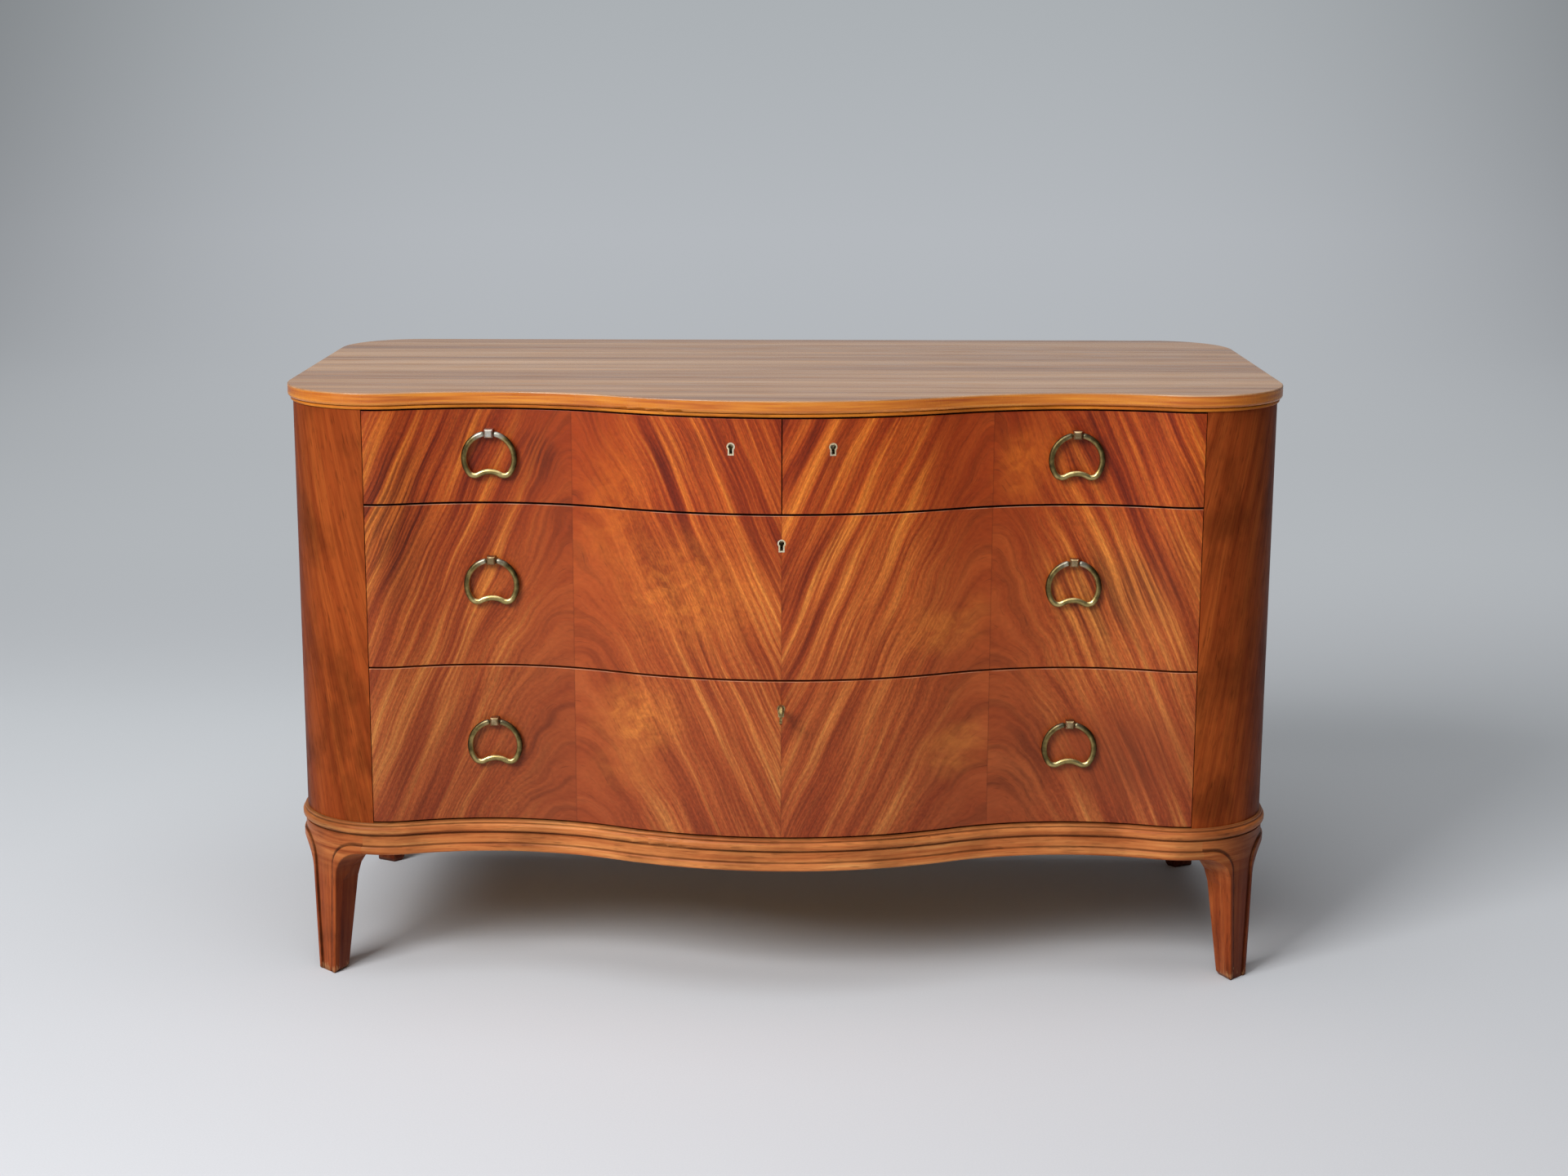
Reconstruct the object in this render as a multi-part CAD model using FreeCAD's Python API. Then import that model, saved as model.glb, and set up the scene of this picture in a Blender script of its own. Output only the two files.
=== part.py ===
import FreeCAD
import Part
import math
import os
from collections import namedtuple

Vector = FreeCAD.Vector

# Chest of drawers with a serpentine bow front, on four carved corner legs.
# Millimetres; +X is the chest's right as its user sees it, +Y its back, +Z up.

# Plan of the case: a bow between two hollows, round corners and sides that narrow to the back
CASE_WIDTH = 1231.0
SIDE_TAPER = 12.0
BOW_REACH = 53.5
BOW_RADIUS = 507.0
HOLLOW_INSET = 254.5
HOLLOW_RADIUS = 380.0
CORNER_RADIUS = 112.0
REAR_RADIUS = 93.5
REAR_LINE = 536.5

# Heights of the courses, from the floor up
LEG_HEIGHT = 167.0
APRON_BEAD = 11.0
APRON_FIELD = 12.5
FRAME_NECK = 2.5
FRAME_ROLL = 11.5
FRAME_LIP = 3.5
LOWER_ROW = 202.0
MIDDLE_ROW = 206.0
UPPER_ROW = 118.5
SUB_TOP = 4.5
TOP_SLAB = 16.0

# How far each moulding stands proud of the case
TOP_PROUD = 6.5
SUB_TOP_PROUD = 3.0
LIP_PROUD = 3.5
ROLL_PROUD = 6.5
NECK_PROUD = 1.5
APRON_FIELD_PROUD = 3.0
APRON_BEAD_PROUD = 5.5

# Rounded edges
TOP_LOWER_ROUND = 4.0
TOP_UPPER_ROUND = 1.5
SUB_TOP_ROUND = 1.8
ROLL_ROUND = 4.5
LIP_ROUND = 1.4
APRON_ROUND = 3.0
LEG_ROUND = 1.8
FRONT_ROUND = 0.8
LUG_CHAMFER = 1.5

# Case boards
SHELL = 20.0
JAMB = 22.0
POST_FACE = 100.5
TONGUE = 6.0
TONGUE_INSET = 7.0
TONGUE_LENGTH = 8.0
BACK_BOARD = 8.0
BACK_LAP = 10.0
REAR_STILE = 20.0
BOTTOM_BOARD = 18.0
RAIL = 20.0
RAIL_NECK = 29.0
TOP_RAIL = 18.0
TENON_LENGTH = 14.0
TENON_WIDTH = 30.0
TENON_INSET = 10.0
TENON_THICKNESS = 8.0
DIVIDER = 18.0
RUNNER_REACH = 45.0
CENTRE_RUNNER = 90.0
GUIDE = 20.0
GUIDE_HEIGHT = 24.0
DUST_PANEL = 5.0
DUST_GROOVE = 6.0

# Drawers
FRONT = 22.0
RAIL_CLEARANCE = 1.0
SIDE_GAP = 1.0
CENTRE_GAP = 1.4
ROW_GAP = 2.0
EDGE_GAP = 2.0
RUNNING_CLEARANCE = 0.5
HEADROOM = 4.0
DRAWER_SIDE = 12.0
DRAWER_BACK = 10.0
DRAWER_BACK_INSET = 10.0
DRAWER_BACK_DROP = 6.0
DRAWER_BOTTOM = 6.0
BOTTOM_INSET = 9.0
GROOVE = 6.0
BOX_ROOM = 16.5
LAP = 8.0
TAIL_PITCH = 42.0
TAIL_TIP = 26.0
TAIL_ROOT = 20.0

# Ring pulls: a square post bolted through the front, and a waisted ring that swings in it
PULL_INSET = 255.5
PULL_DROP = 70.2
UPPER_PULL_DROP = 29.0
LUG = 10.0
LUG_LENGTH = 13.0
PIVOT_PROUD = 7.5
STEM_RADIUS = 2.5
NUT = 10.0
NUT_HEIGHT = 4.0
WIRE_RADIUS = 2.75
RING_RADIUS = 31.0
LOBE_RADIUS = 9.0
LOBE_BEARING = 34.6
DIP_RADIUS = 26.3
RING_END_GAP = 1.2
PIN_RADIUS = 1.6
PIN_LENGTH = 3.5
PIN_CLEARANCE = 0.05
PIN_END_CLEARANCE = 0.3

# Locks, keyhole liners and the key
KEY_DROP = 34.0
UPPER_LOCK_X = 61.5
KEYHOLE_RADIUS = 3.25
KEYHOLE_SLOT = 3.8
KEYHOLE_DROP = 9.0
LINER_WALL = 1.7
LINER_DEPTH = 7.0
LINER_PROUD = 0.3
LOCK_WIDTH = 50.0
LOCK_HEIGHT = 42.0
LOCK_DEPTH = 14.0
LOCK_WALL = 1.6
LOCK_RECESS = 1.0
LOCK_CLEARANCE = 0.5
BOLT_WIDTH = 16.0
BOLT_THICKNESS = 4.0
BOLT_TRAVEL = 8.0
BOLT_CLEARANCE = 0.2
BOLT_KEY_CLEARANCE = 0.9
TALON_WIDTH = 10.0
TALON_HEIGHT = 3.0
PIVOT_POST_RADIUS = 1.3
PIVOT_POST_CLEARANCE = 0.06
MORTISE_CLEARANCE = 0.4
SHANK_RADIUS = 2.6
BIT_RADIUS = 8.5
BIT_THICKNESS = 2.4
BIT_LENGTH = 5.2
BIT_CLEARANCE = 0.6
KEY_REACH = 40.0
KEY_BOW_HEIGHT = 24.0
KEY_BOW_LENGTH = 20.0
KEY_BOW_RIM = 4.5
KEY_BOW_THICKNESS = 3.2
KEY_COLLAR_RADIUS = 4.0
KEY_COLLAR_LENGTH = 2.5

# Base: moulded frame, aprons and corner legs
APRON_THICKNESS = 22.0
LEG_BLOCK_WIDTH = 122.0
LEG_BLOCK_DEPTH = 50.0
FOOT_WIDTH = 33.0
FOOT_DEPTH = 29.0
FOOT_HEEL = 17.0
FOOT_EASE = 2.0
FOOT_EASE_HEIGHT = 5.0
KNEE_WIDTH = 51.0
KNEE_DEPTH = 47.0
KNEE_HEEL = 41.0
KNEE_TURN = 36.0
HEEL_FLARE = 42.0
LEG_BEAD = 6.0
FIELD_TURN = 34.0
HEEL_EASE = 3.0
CORNER_BLOCK_DEPTH = 30.0
CORNER_BLOCK_WIDTH = 64.0
CORNER_BLOCK_LIFT = 3.0
SCREW_RADIUS = 2.25
SCREW_HEAD_RADIUS = 4.5
SCREW_HEAD = 3.0
SCREW_BITE = 10.0
SCREW_SPACING = 32.0
SCREW_INSET = 9.5
SCREW_EDGE = 9.5

# Levels that follow from the courses
FIELD_Z = LEG_HEIGHT + APRON_BEAD
FRAME_Z = FIELD_Z + APRON_FIELD
CASE_Z = FRAME_Z + FRAME_NECK + FRAME_ROLL + FRAME_LIP
LOWER_SPLIT = CASE_Z + LOWER_ROW
UPPER_SPLIT = LOWER_SPLIT + MIDDLE_ROW
CASE_TOP = UPPER_SPLIT + UPPER_ROW
SLAB_Z = CASE_TOP + SUB_TOP
HEIGHT = SLAB_Z + TOP_SLAB

# Widths and places across the chest that follow from its sides
REAR_WIDTH = CASE_WIDTH - 2 * SIDE_TAPER
OPENING_WIDTH = CASE_WIDTH - 2 * POST_FACE
HOLLOW_X = CASE_WIDTH / 2 - HOLLOW_INSET
PULL_X = CASE_WIDTH / 2 - PULL_INSET

# Centres of the plan's arcs; each arc runs smoothly into the next
BOW_CENTRE = Vector(0, BOW_RADIUS - BOW_REACH, 0)
HOLLOW_CENTRE = Vector(
    HOLLOW_X, BOW_CENTRE.y - math.sqrt((BOW_RADIUS + HOLLOW_RADIUS) ** 2 - HOLLOW_X**2), 0
)
CORNER_X = CASE_WIDTH / 2 - CORNER_RADIUS
CORNER_CENTRE = Vector(
    CORNER_X,
    HOLLOW_CENTRE.y + math.sqrt((HOLLOW_RADIUS + CORNER_RADIUS) ** 2 - (CORNER_X - HOLLOW_X) ** 2),
    0,
)
REAR_CENTRE = Vector(REAR_WIDTH / 2 - REAR_RADIUS, REAR_LINE - REAR_RADIUS, 0)

# Lines and faces that several pieces share
POST_LINE = CORNER_CENTRE.y
BACK_FACE = REAR_LINE - SHELL
JAMB_X = OPENING_WIDTH / 2
RAIL_FACE = -(FRONT + RAIL_CLEARANCE)
RAIL_LINE = HOLLOW_CENTRE.y + HOLLOW_RADIUS - RAIL_FACE + RAIL_NECK
BOX_LINE = BACK_FACE - BOX_ROOM
LEG_HEEL = APRON_BEAD_PROUD - LEG_BLOCK_DEPTH
SCREW_LINE = LEG_HEEL - SCREW_INSET
FRAME_LINE = SCREW_LINE - SCREW_EDGE
RUNNER_X = JAMB_X - RUNNER_REACH
PAST = 2 * CASE_WIDTH
FULL_DEPTH = REAR_LINE + TOP_PROUD + BOW_REACH + KEY_REACH
MIDDLE_Y = REAR_LINE + TOP_PROUD - FULL_DEPTH / 2

RAIL_LEVELS = [
    (LOWER_SPLIT - RAIL / 2, LOWER_SPLIT + RAIL / 2),
    (UPPER_SPLIT - RAIL / 2, UPPER_SPLIT + RAIL / 2),
    (CASE_TOP - TOP_RAIL, CASE_TOP),
]
CORNERS = [
    ("front_left_leg", Vector(-CORNER_CENTRE.x, CORNER_CENTRE.y, 0), 225, CORNER_RADIUS),
    ("front_right_leg", CORNER_CENTRE, -45, CORNER_RADIUS),
    ("rear_left_leg", Vector(-REAR_CENTRE.x, REAR_CENTRE.y, 0), 135, REAR_RADIUS),
    ("rear_right_leg", REAR_CENTRE, 45, REAR_RADIUS),
]

Drawer = namedtuple("Drawer", "name left right box low high floor ceiling key_x pulls pull_drop")


def along(start, end, distance):
    """Point that lies this distance from start towards end."""
    return start + (end - start).normalize() * distance


def flipped(point):
    """The point's mirror image on the chest's other half."""
    return Vector(-point.x, point.y, point.z)


def arc(centre, start, end):
    """The shorter arc about the centre from start to end."""
    middle = along(centre, (start + end) / 2, (start - centre).Length)
    return Part.Arc(start, middle, end).toShape()


def side_normal():
    """Outward direction of the straight side, which touches the front and rear corner circles."""
    run = REAR_CENTRE - CORNER_CENTRE
    lean = (CORNER_RADIUS - REAR_RADIUS) / run.Length
    run.normalize()
    return run * lean + Vector(run.y, -run.x, 0) * math.sqrt(1 - lean**2)


def outline(grow):
    """The case's closed plan outline, moved outwards by grow."""
    bow_end = along(BOW_CENTRE, HOLLOW_CENTRE, BOW_RADIUS + grow)
    hollow_end = along(HOLLOW_CENTRE, CORNER_CENTRE, HOLLOW_RADIUS - grow)
    corner_end = CORNER_CENTRE + side_normal() * (CORNER_RADIUS + grow)
    rear_start = REAR_CENTRE + side_normal() * (REAR_RADIUS + grow)
    rear_end = REAR_CENTRE + Vector(0, REAR_RADIUS + grow, 0)
    edges = [arc(BOW_CENTRE, flipped(bow_end), bow_end), Part.makeLine(rear_end, flipped(rear_end))]
    for half in (Vector, flipped):
        edges += [
            arc(half(HOLLOW_CENTRE), half(bow_end), half(hollow_end)),
            arc(half(CORNER_CENTRE), half(hollow_end), half(corner_end)),
            Part.makeLine(half(corner_end), half(rear_start)),
            arc(half(REAR_CENTRE), half(rear_start), half(rear_end)),
        ]
    return Part.Wire(Part.__sortEdges__(edges))


def front_y(x, grow=0.0):
    """Depth of the front's face, moved outwards by grow, at this place across the chest."""
    x = abs(x)
    bow_end = along(BOW_CENTRE, HOLLOW_CENTRE, BOW_RADIUS + grow)
    hollow_end = along(HOLLOW_CENTRE, CORNER_CENTRE, HOLLOW_RADIUS - grow)
    if x <= bow_end.x:
        return BOW_CENTRE.y - math.sqrt((BOW_RADIUS + grow) ** 2 - x**2)
    if x <= hollow_end.x:
        return HOLLOW_CENTRE.y + math.sqrt((HOLLOW_RADIUS - grow) ** 2 - (x - HOLLOW_CENTRE.x) ** 2)
    return CORNER_CENTRE.y - math.sqrt((CORNER_RADIUS + grow) ** 2 - (x - CORNER_CENTRE.x) ** 2)


def slab(grow, low, high):
    """A slice of the case between two heights, with its plan moved outwards by grow."""
    face = Part.Face(outline(grow))
    face.translate(Vector(0, 0, low))
    return face.extrude(Vector(0, 0, high - low))


def block(x_low, x_high, y_low, y_high, z_low, z_high):
    """A square block between these faces."""
    return Part.makeBox(x_high - x_low, y_high - y_low, z_high - z_low, Vector(x_low, y_low, z_low))


def rod(radius, start, end):
    """A round rod from start to end."""
    return Part.makeCylinder(radius, (end - start).Length, start, end - start)


def mirrored(shape):
    """The same piece for the chest's other half."""
    return shape.mirror(Vector(), Vector(1, 0, 0))


def rounded(shape, radius, level):
    """The shape with the edges that lie at this level rounded."""
    rim = [e for e in shape.Edges if all(abs(v.Z - level) < radius / 100 for v in e.Vertexes)]
    return shape.makeFillet(radius, rim)


def joined(*shapes):
    """One piece from several that touch."""
    return shapes[0].fuse(list(shapes[1:])).removeSplitter()


def top_panel():
    """Veneered top: its edge is rounded under and eased above."""
    panel = slab(TOP_PROUD, SLAB_Z, HEIGHT)
    return rounded(rounded(panel, TOP_LOWER_ROUND, SLAB_Z), TOP_UPPER_ROUND, HEIGHT)


def sub_top():
    """Thin board under the top whose round edge shows as a bead."""
    board = slab(SUB_TOP_PROUD, CASE_TOP, SLAB_Z)
    return rounded(rounded(board, SUB_TOP_ROUND, CASE_TOP), SUB_TOP_ROUND, SLAB_Z)


def side_panel():
    """Right side: a flat panel with a tongue along its front and rear edges."""
    board = slab(0, CASE_Z, CASE_TOP).cut(slab(-SHELL, CASE_Z, CASE_TOP))
    board = board.common(block(0, PAST, POST_LINE, REAR_CENTRE.y, CASE_Z, CASE_TOP))
    tongue = slab(-TONGUE_INSET, CASE_Z, CASE_TOP).cut(slab(-TONGUE_INSET - TONGUE, CASE_Z, CASE_TOP))
    reach = block(0, PAST, POST_LINE - TONGUE_LENGTH, REAR_CENTRE.y + TONGUE_LENGTH, CASE_Z, CASE_TOP)
    return joined(board, tongue.common(reach))


def tenon(low, high):
    """Right-hand tenon of a rail between these heights."""
    middle = (low + high) / 2
    near = RAIL_LINE - TENON_INSET - TENON_WIDTH
    return block(
        JAMB_X, JAMB_X + TENON_LENGTH, near, near + TENON_WIDTH,
        middle - TENON_THICKNESS / 2, middle + TENON_THICKNESS / 2,
    )


def front_post():
    """Right front corner: a coopered shell round the corner with a flat jamb beside the drawers."""
    post = slab(0, CASE_Z, CASE_TOP).common(block(JAMB_X, PAST, -PAST, POST_LINE, CASE_Z, CASE_TOP))
    inside = slab(-SHELL, CASE_Z, CASE_TOP)
    post = post.cut(inside.common(block(JAMB_X + JAMB, PAST, -PAST, PAST, CASE_Z, CASE_TOP)))
    return post.cut([side_panel()] + [tenon(*level) for level in RAIL_LEVELS] + base_screws())


def rear_post():
    """Right rear corner: a quarter-round shell that runs into a stile beside the back board."""
    post = slab(0, CASE_Z, CASE_TOP).cut(slab(-SHELL, CASE_Z, CASE_TOP))
    stile_x = REAR_CENTRE.x - REAR_STILE
    post = post.common(block(stile_x, PAST, REAR_CENTRE.y, PAST, CASE_Z, CASE_TOP))
    return post.cut([side_panel(), back_panel()])


def back_panel():
    """Plywood back, lapped into the rear stiles from the front."""
    half = REAR_CENTRE.x - REAR_STILE + BACK_LAP
    return block(-half, half, BACK_FACE, BACK_FACE + BACK_BOARD, CASE_Z, CASE_TOP)


def bottom_board():
    """Floor of the case, cut to the front's line between the posts."""
    top = CASE_Z + BOTTOM_BOARD
    front = slab(RAIL_FACE, CASE_Z, top).common(block(-JAMB_X, JAMB_X, -PAST, POST_LINE, CASE_Z, top))
    rear = slab(-SHELL, CASE_Z, top).common(block(-PAST, PAST, POST_LINE, BACK_FACE, CASE_Z, top))
    return joined(front, rear).cut(base_screws())


def rail(low, high, mortises):
    """Front rail behind the drawer fronts: curved before, straight behind, tenoned into the posts."""
    board = slab(RAIL_FACE, low, high).common(block(-JAMB_X, JAMB_X, -PAST, RAIL_LINE, low, high))
    right = tenon(low, high)
    return joined(board, right, mirrored(right)).cut(mortises)


def centre_divider():
    """Upright board between the two upper drawers."""
    low = RAIL_LEVELS[1][1]
    high = RAIL_LEVELS[2][0]
    half = DIVIDER / 2
    front = slab(RAIL_FACE, low, high).common(block(-half, half, -PAST, RAIL_LINE, low, high))
    return joined(front, block(-half, half, RAIL_LINE, BACK_FACE, low, high))


def dust_panel(left, right, level):
    """Thin panel between drawers, held in grooves in the rail and the runners."""
    middle = sum(level) / 2
    return block(
        left - DUST_GROOVE, right + DUST_GROOVE, RAIL_LINE - DUST_GROOVE, BACK_FACE,
        middle - DUST_PANEL / 2, middle + DUST_PANEL / 2,
    )


def dust_panels():
    """One wide panel over the lower drawer, two over the middle one."""
    half = CENTRE_RUNNER / 2
    return [
        dust_panel(-RUNNER_X, RUNNER_X, RAIL_LEVELS[0]),
        dust_panel(-RUNNER_X, -half, RAIL_LEVELS[1]),
        dust_panel(half, RUNNER_X, RAIL_LEVELS[1]),
    ]


def side_runner(low, high):
    """Right-hand runner from the rail to the back, glued along the side."""
    inner = block(RUNNER_X, JAMB_X, RAIL_LINE, BACK_FACE, low, high)
    outer = block(JAMB_X, PAST, POST_LINE, BACK_FACE, low, high)
    return joined(inner, outer).common(slab(-SHELL, low, high))


def drawer_runners():
    """Runners under the drawers, and kickers that keep the upper ones from tipping."""
    pieces = []
    for low, high in RAIL_LEVELS:
        pieces += [side_runner(low, high), mirrored(side_runner(low, high))]
    for low, high in RAIL_LEVELS[1:]:
        pieces.append(block(-CENTRE_RUNNER / 2, CENTRE_RUNNER / 2, RAIL_LINE, BACK_FACE, low, high))
    return [piece.cut(dust_panels()) for piece in pieces]


def drawer_guides():
    """Strips beside the drawers that keep them square."""
    pieces = []
    for low in (CASE_Z + BOTTOM_BOARD, RAIL_LEVELS[0][1], RAIL_LEVELS[1][1]):
        high = low + GUIDE_HEIGHT
        strip = block(JAMB_X, JAMB_X + GUIDE, POST_LINE, BACK_FACE, low, high)
        strip = strip.common(slab(-SHELL, low, high))
        pieces += [strip, mirrored(strip)]
    return pieces


def base_frame():
    """Moulded frame under the case: lip, roll and neck, cut into four mitred lengths."""
    lip_low = CASE_Z - FRAME_LIP
    roll_low = lip_low - FRAME_ROLL
    lip = rounded(slab(LIP_PROUD, lip_low, CASE_Z), LIP_ROUND, CASE_Z)
    roll = slab(ROLL_PROUD, roll_low, lip_low)
    roll = rounded(rounded(roll, ROLL_ROUND, roll_low), ROLL_ROUND, lip_low)
    neck = slab(NECK_PROUD, FRAME_Z, roll_low)
    frame = joined(lip, roll, neck).cut(slab(FRAME_LINE, FRAME_Z, CASE_Z))
    frame = frame.cut(base_screws())
    return [piece for cutter in frame_sectors() for piece in frame.common(cutter).Solids]


def frame_sectors():
    """Four prisms that part the frame along the mitres at its corners."""
    corners = [CORNER_CENTRE, REAR_CENTRE, flipped(REAR_CENTRE), flipped(CORNER_CENTRE)]
    bearings = [-45, 45, 135, 225]
    middle = Vector(0, (CORNER_CENTRE.y + REAR_CENTRE.y) / 2, 0)
    sectors = []
    for index in range(4):
        points = [middle]
        for turn in (index, (index + 1) % 4):
            angle = math.radians(bearings[turn])
            away = corners[turn] + Vector(math.cos(angle), math.sin(angle), 0) * PAST
            points += [corners[turn], away] if turn == index else [away, corners[turn]]
        face = Part.Face(Part.makePolygon(points + points[:1]))
        face.translate(Vector(0, 0, FRAME_Z))
        sectors.append(face.extrude(Vector(0, 0, CASE_Z - FRAME_Z)))
    return sectors


def quarter_flare(height, reach, level):
    """How far a hollow flare of this height has spread at this level below the apron."""
    rise = max(0.0, level - (LEG_HEIGHT - height)) / height
    return reach * (1 - math.sqrt(max(0.0, 1 - rise**2)))


def leg_section(radius, level):
    """Section at one level of the wedge that trims a leg towards its heel."""
    share = level / LEG_HEIGHT
    half = LEG_BLOCK_WIDTH / 2
    toe = (FOOT_WIDTH + (KNEE_WIDTH - FOOT_WIDTH) * share) / 2 + HEEL_EASE
    toe += quarter_flare(HEEL_FLARE, half - KNEE_WIDTH / 2, level)
    heel = (FOOT_HEEL + (KNEE_HEEL - FOOT_HEEL) * share) / 2
    heel += quarter_flare(HEEL_FLARE, half - KNEE_HEEL / 2, level)
    depth = FOOT_DEPTH + (KNEE_DEPTH - FOOT_DEPTH) * share
    depth += quarter_flare(HEEL_FLARE, LEG_BLOCK_DEPTH - KNEE_DEPTH, level)
    return section(level, radius + APRON_BEAD_PROUD, toe, depth, heel)


def section(level, outer, toe, depth, heel):
    """Four-sided section of a leg, wide at its outer side and narrow at its heel."""
    corners = [(outer, -toe), (outer, toe), (outer - depth, heel), (outer - depth, -heel)]
    points = [Vector(out, across, level) for out, across in corners]
    return Part.makePolygon(points + points[:1])


def foot_section(radius):
    """Section of the same wedge on the floor, where the foot's edges are eased."""
    outer = radius + APRON_BEAD_PROUD - FOOT_EASE
    toe = FOOT_WIDTH / 2 - FOOT_EASE
    depth = FOOT_DEPTH - 2 * FOOT_EASE
    return section(0.0, outer, toe, depth, FOOT_HEEL / 2 - FOOT_EASE)


def leg_edge(inset, level, turn):
    """One edge of a leg's face: up from the floor with the taper, then by an arc into a level line."""
    lean = math.atan2(KNEE_WIDTH - FOOT_WIDTH, 2 * LEG_HEIGHT)
    foot = FOOT_WIDTH / 2 - inset
    low = level - turn
    across = foot + low * math.tan(lean) + turn / math.cos(lean)
    bend = (math.pi / 2 + lean) / 2
    spots = [(foot, 0.0)]
    for angle in (lean, bend):
        spots.append((across - turn * math.cos(angle), low + turn * math.sin(angle)))
    half = LEG_BLOCK_WIDTH / 2
    return spots + [(across, level), (half, level), (half, FRAME_Z), (0.0, FRAME_Z)]


def leg_prism(near, far, inset, level, turn):
    """Outline of a leg's face, set in by inset, carried from near to far along its depth."""
    edges = []
    for hand in (1, -1):
        points = [Vector(near, hand * across, height) for across, height in leg_edge(inset, level, turn)]
        edges += [Part.makeLine(Vector(near, 0, 0), points[0]), Part.makeLine(points[0], points[1])]
        edges.append(Part.Arc(points[1], points[2], points[3]).toShape())
        edges += [Part.makeLine(points[i], points[i + 1]) for i in (3, 4, 5)]
    face = Part.Face(Part.Wire(Part.__sortEdges__(edges)))
    return face.extrude(Vector(far - near, 0, 0))


def bead_edges(face, outer):
    """Edges of a leg's two beads, which lie on its outer round and stop at the aprons and the floor."""
    rim = []
    for edge in face.Edges:
        low, high = edge.ParameterRange
        middle = edge.valueAt((low + high) / 2)
        out = math.hypot(middle.x, middle.y)
        inside = abs(middle.y) < LEG_BLOCK_WIDTH / 2 - LEG_ROUND / 100
        if abs(out - outer) < LEG_ROUND / 100 and inside and 0 < middle.z < FRAME_Z:
            rim.append(edge)
    return rim


def leg_shape(radius):
    """Corner leg about an upright axis, facing +X: a round bead runs down both edges of its sunk face."""
    outer = radius + APRON_BEAD_PROUD
    rear = outer - LEG_BLOCK_DEPTH
    half = LEG_BLOCK_WIDTH / 2
    leg = leg_prism(rear, outer, 0.0, LEG_HEIGHT, KNEE_TURN).common(Part.makeCylinder(outer, FRAME_Z))
    sunk = leg_prism(rear, outer, LEG_BEAD, FIELD_Z, FIELD_TURN)
    leg = leg.cut(sunk.cut(Part.makeCylinder(radius + APRON_FIELD_PROUD, FRAME_Z)))
    leg = leg.makeFillet(LEG_ROUND, bead_edges(leg, outer))
    levels = [FOOT_EASE_HEIGHT, LEG_HEIGHT - HEEL_FLARE]
    levels += [LEG_HEIGHT - HEEL_FLARE * (1 - math.sin(math.radians(a))) for a in (25, 42, 56, 68, 79, 90)]
    sections = [foot_section(radius)] + [leg_section(radius, level) for level in levels]
    stem = Part.makeLoft(sections, True, True)
    return leg.common(joined(stem, block(rear, outer, -half, half, LEG_HEIGHT, FRAME_Z)))


def at_corner(shape, centre, bearing):
    """A shape made about the origin, facing +X, set at a corner and turned to this bearing."""
    turned = shape.copy()
    turned.rotate(Vector(), Vector(0, 0, 1), bearing)
    turned.translate(centre)
    return turned


def aprons():
    """Front, side and rear aprons between the legs, each with a sunk field over a round bead."""
    bead = slab(APRON_BEAD_PROUD, LEG_HEIGHT, FIELD_Z)
    bead = rounded(rounded(bead, APRON_ROUND, LEG_HEIGHT), APRON_ROUND, FIELD_Z)
    ring = joined(bead, slab(APRON_FIELD_PROUD, FIELD_Z, FRAME_Z))
    ring = ring.cut(slab(APRON_FIELD_PROUD - APRON_THICKNESS, LEG_HEIGHT, FRAME_Z))
    half = LEG_BLOCK_WIDTH / 2
    gap = block(0, PAST, -half, half, LEG_HEIGHT, FRAME_Z)
    ring = ring.cut([at_corner(gap, centre, bearing) for _, centre, bearing, _ in CORNERS])
    by_depth = sorted(ring.Solids, key=lambda piece: piece.CenterOfMass.y)
    return by_depth[0], by_depth[1:3], by_depth[3]


def corner_block(radius):
    """Glue block behind a leg, facing +X, bored for its two screws."""
    heel = radius + LEG_HEEL
    half = CORNER_BLOCK_WIDTH / 2
    low = LEG_HEIGHT + CORNER_BLOCK_LIFT
    piece = block(heel - CORNER_BLOCK_DEPTH, heel, -half, half, low, FRAME_Z)
    return piece.cut(corner_screws(radius))


def corner_screws(radius):
    """Two countersunk screws up through a corner block, frame and bottom board."""
    out = radius + SCREW_LINE
    low = LEG_HEIGHT + CORNER_BLOCK_LIFT
    screws = []
    for across in (-SCREW_SPACING / 2, SCREW_SPACING / 2):
        foot = Vector(out, across, low)
        tip = Vector(out, across, CASE_Z + SCREW_BITE)
        head = Part.makeCone(SCREW_HEAD_RADIUS, SCREW_RADIUS, SCREW_HEAD, foot)
        shank = rod(SCREW_RADIUS, foot, tip)
        screws.append(joined(head, shank))
    return screws


def base_screws():
    """All the screws that hold the base to the case."""
    screws = []
    for _, centre, bearing, radius in CORNERS:
        screws += [at_corner(screw, centre, bearing) for screw in corner_screws(radius)]
    return screws


def keyhole(x, z, y_low, y_high, wall):
    """Round-headed keyhole cut along the depth, wider all round by wall."""
    start = Vector(x, y_low, z)
    half = KEYHOLE_SLOT / 2 + wall
    slot = block(x - half, x + half, y_low, y_high, z - KEYHOLE_DROP - wall, z)
    return joined(rod(KEYHOLE_RADIUS + wall, start, Vector(x, y_high, z)), slot)


def lock_face(x):
    """Depth of the flat recess that a lock seats in, just below the curved back of the front."""
    places = (x - LOCK_WIDTH / 2, x, x + LOCK_WIDTH / 2)
    return min(front_y(place, -FRONT) for place in places) - LOCK_RECESS


def lock_box(drawer, grow=0.0):
    """Outer block of a drawer's lock, or the space inside it when grow is below zero."""
    face = lock_face(drawer.key_x)
    top = drawer.ceiling - LOCK_CLEARANCE
    half = LOCK_WIDTH / 2
    return block(
        drawer.key_x - half - grow, drawer.key_x + half + grow,
        face - grow, face + LOCK_DEPTH + grow,
        top - LOCK_HEIGHT - grow, top + grow,
    )


def key_z(drawer):
    """Height of a drawer's key."""
    return drawer.high - KEY_DROP


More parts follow.
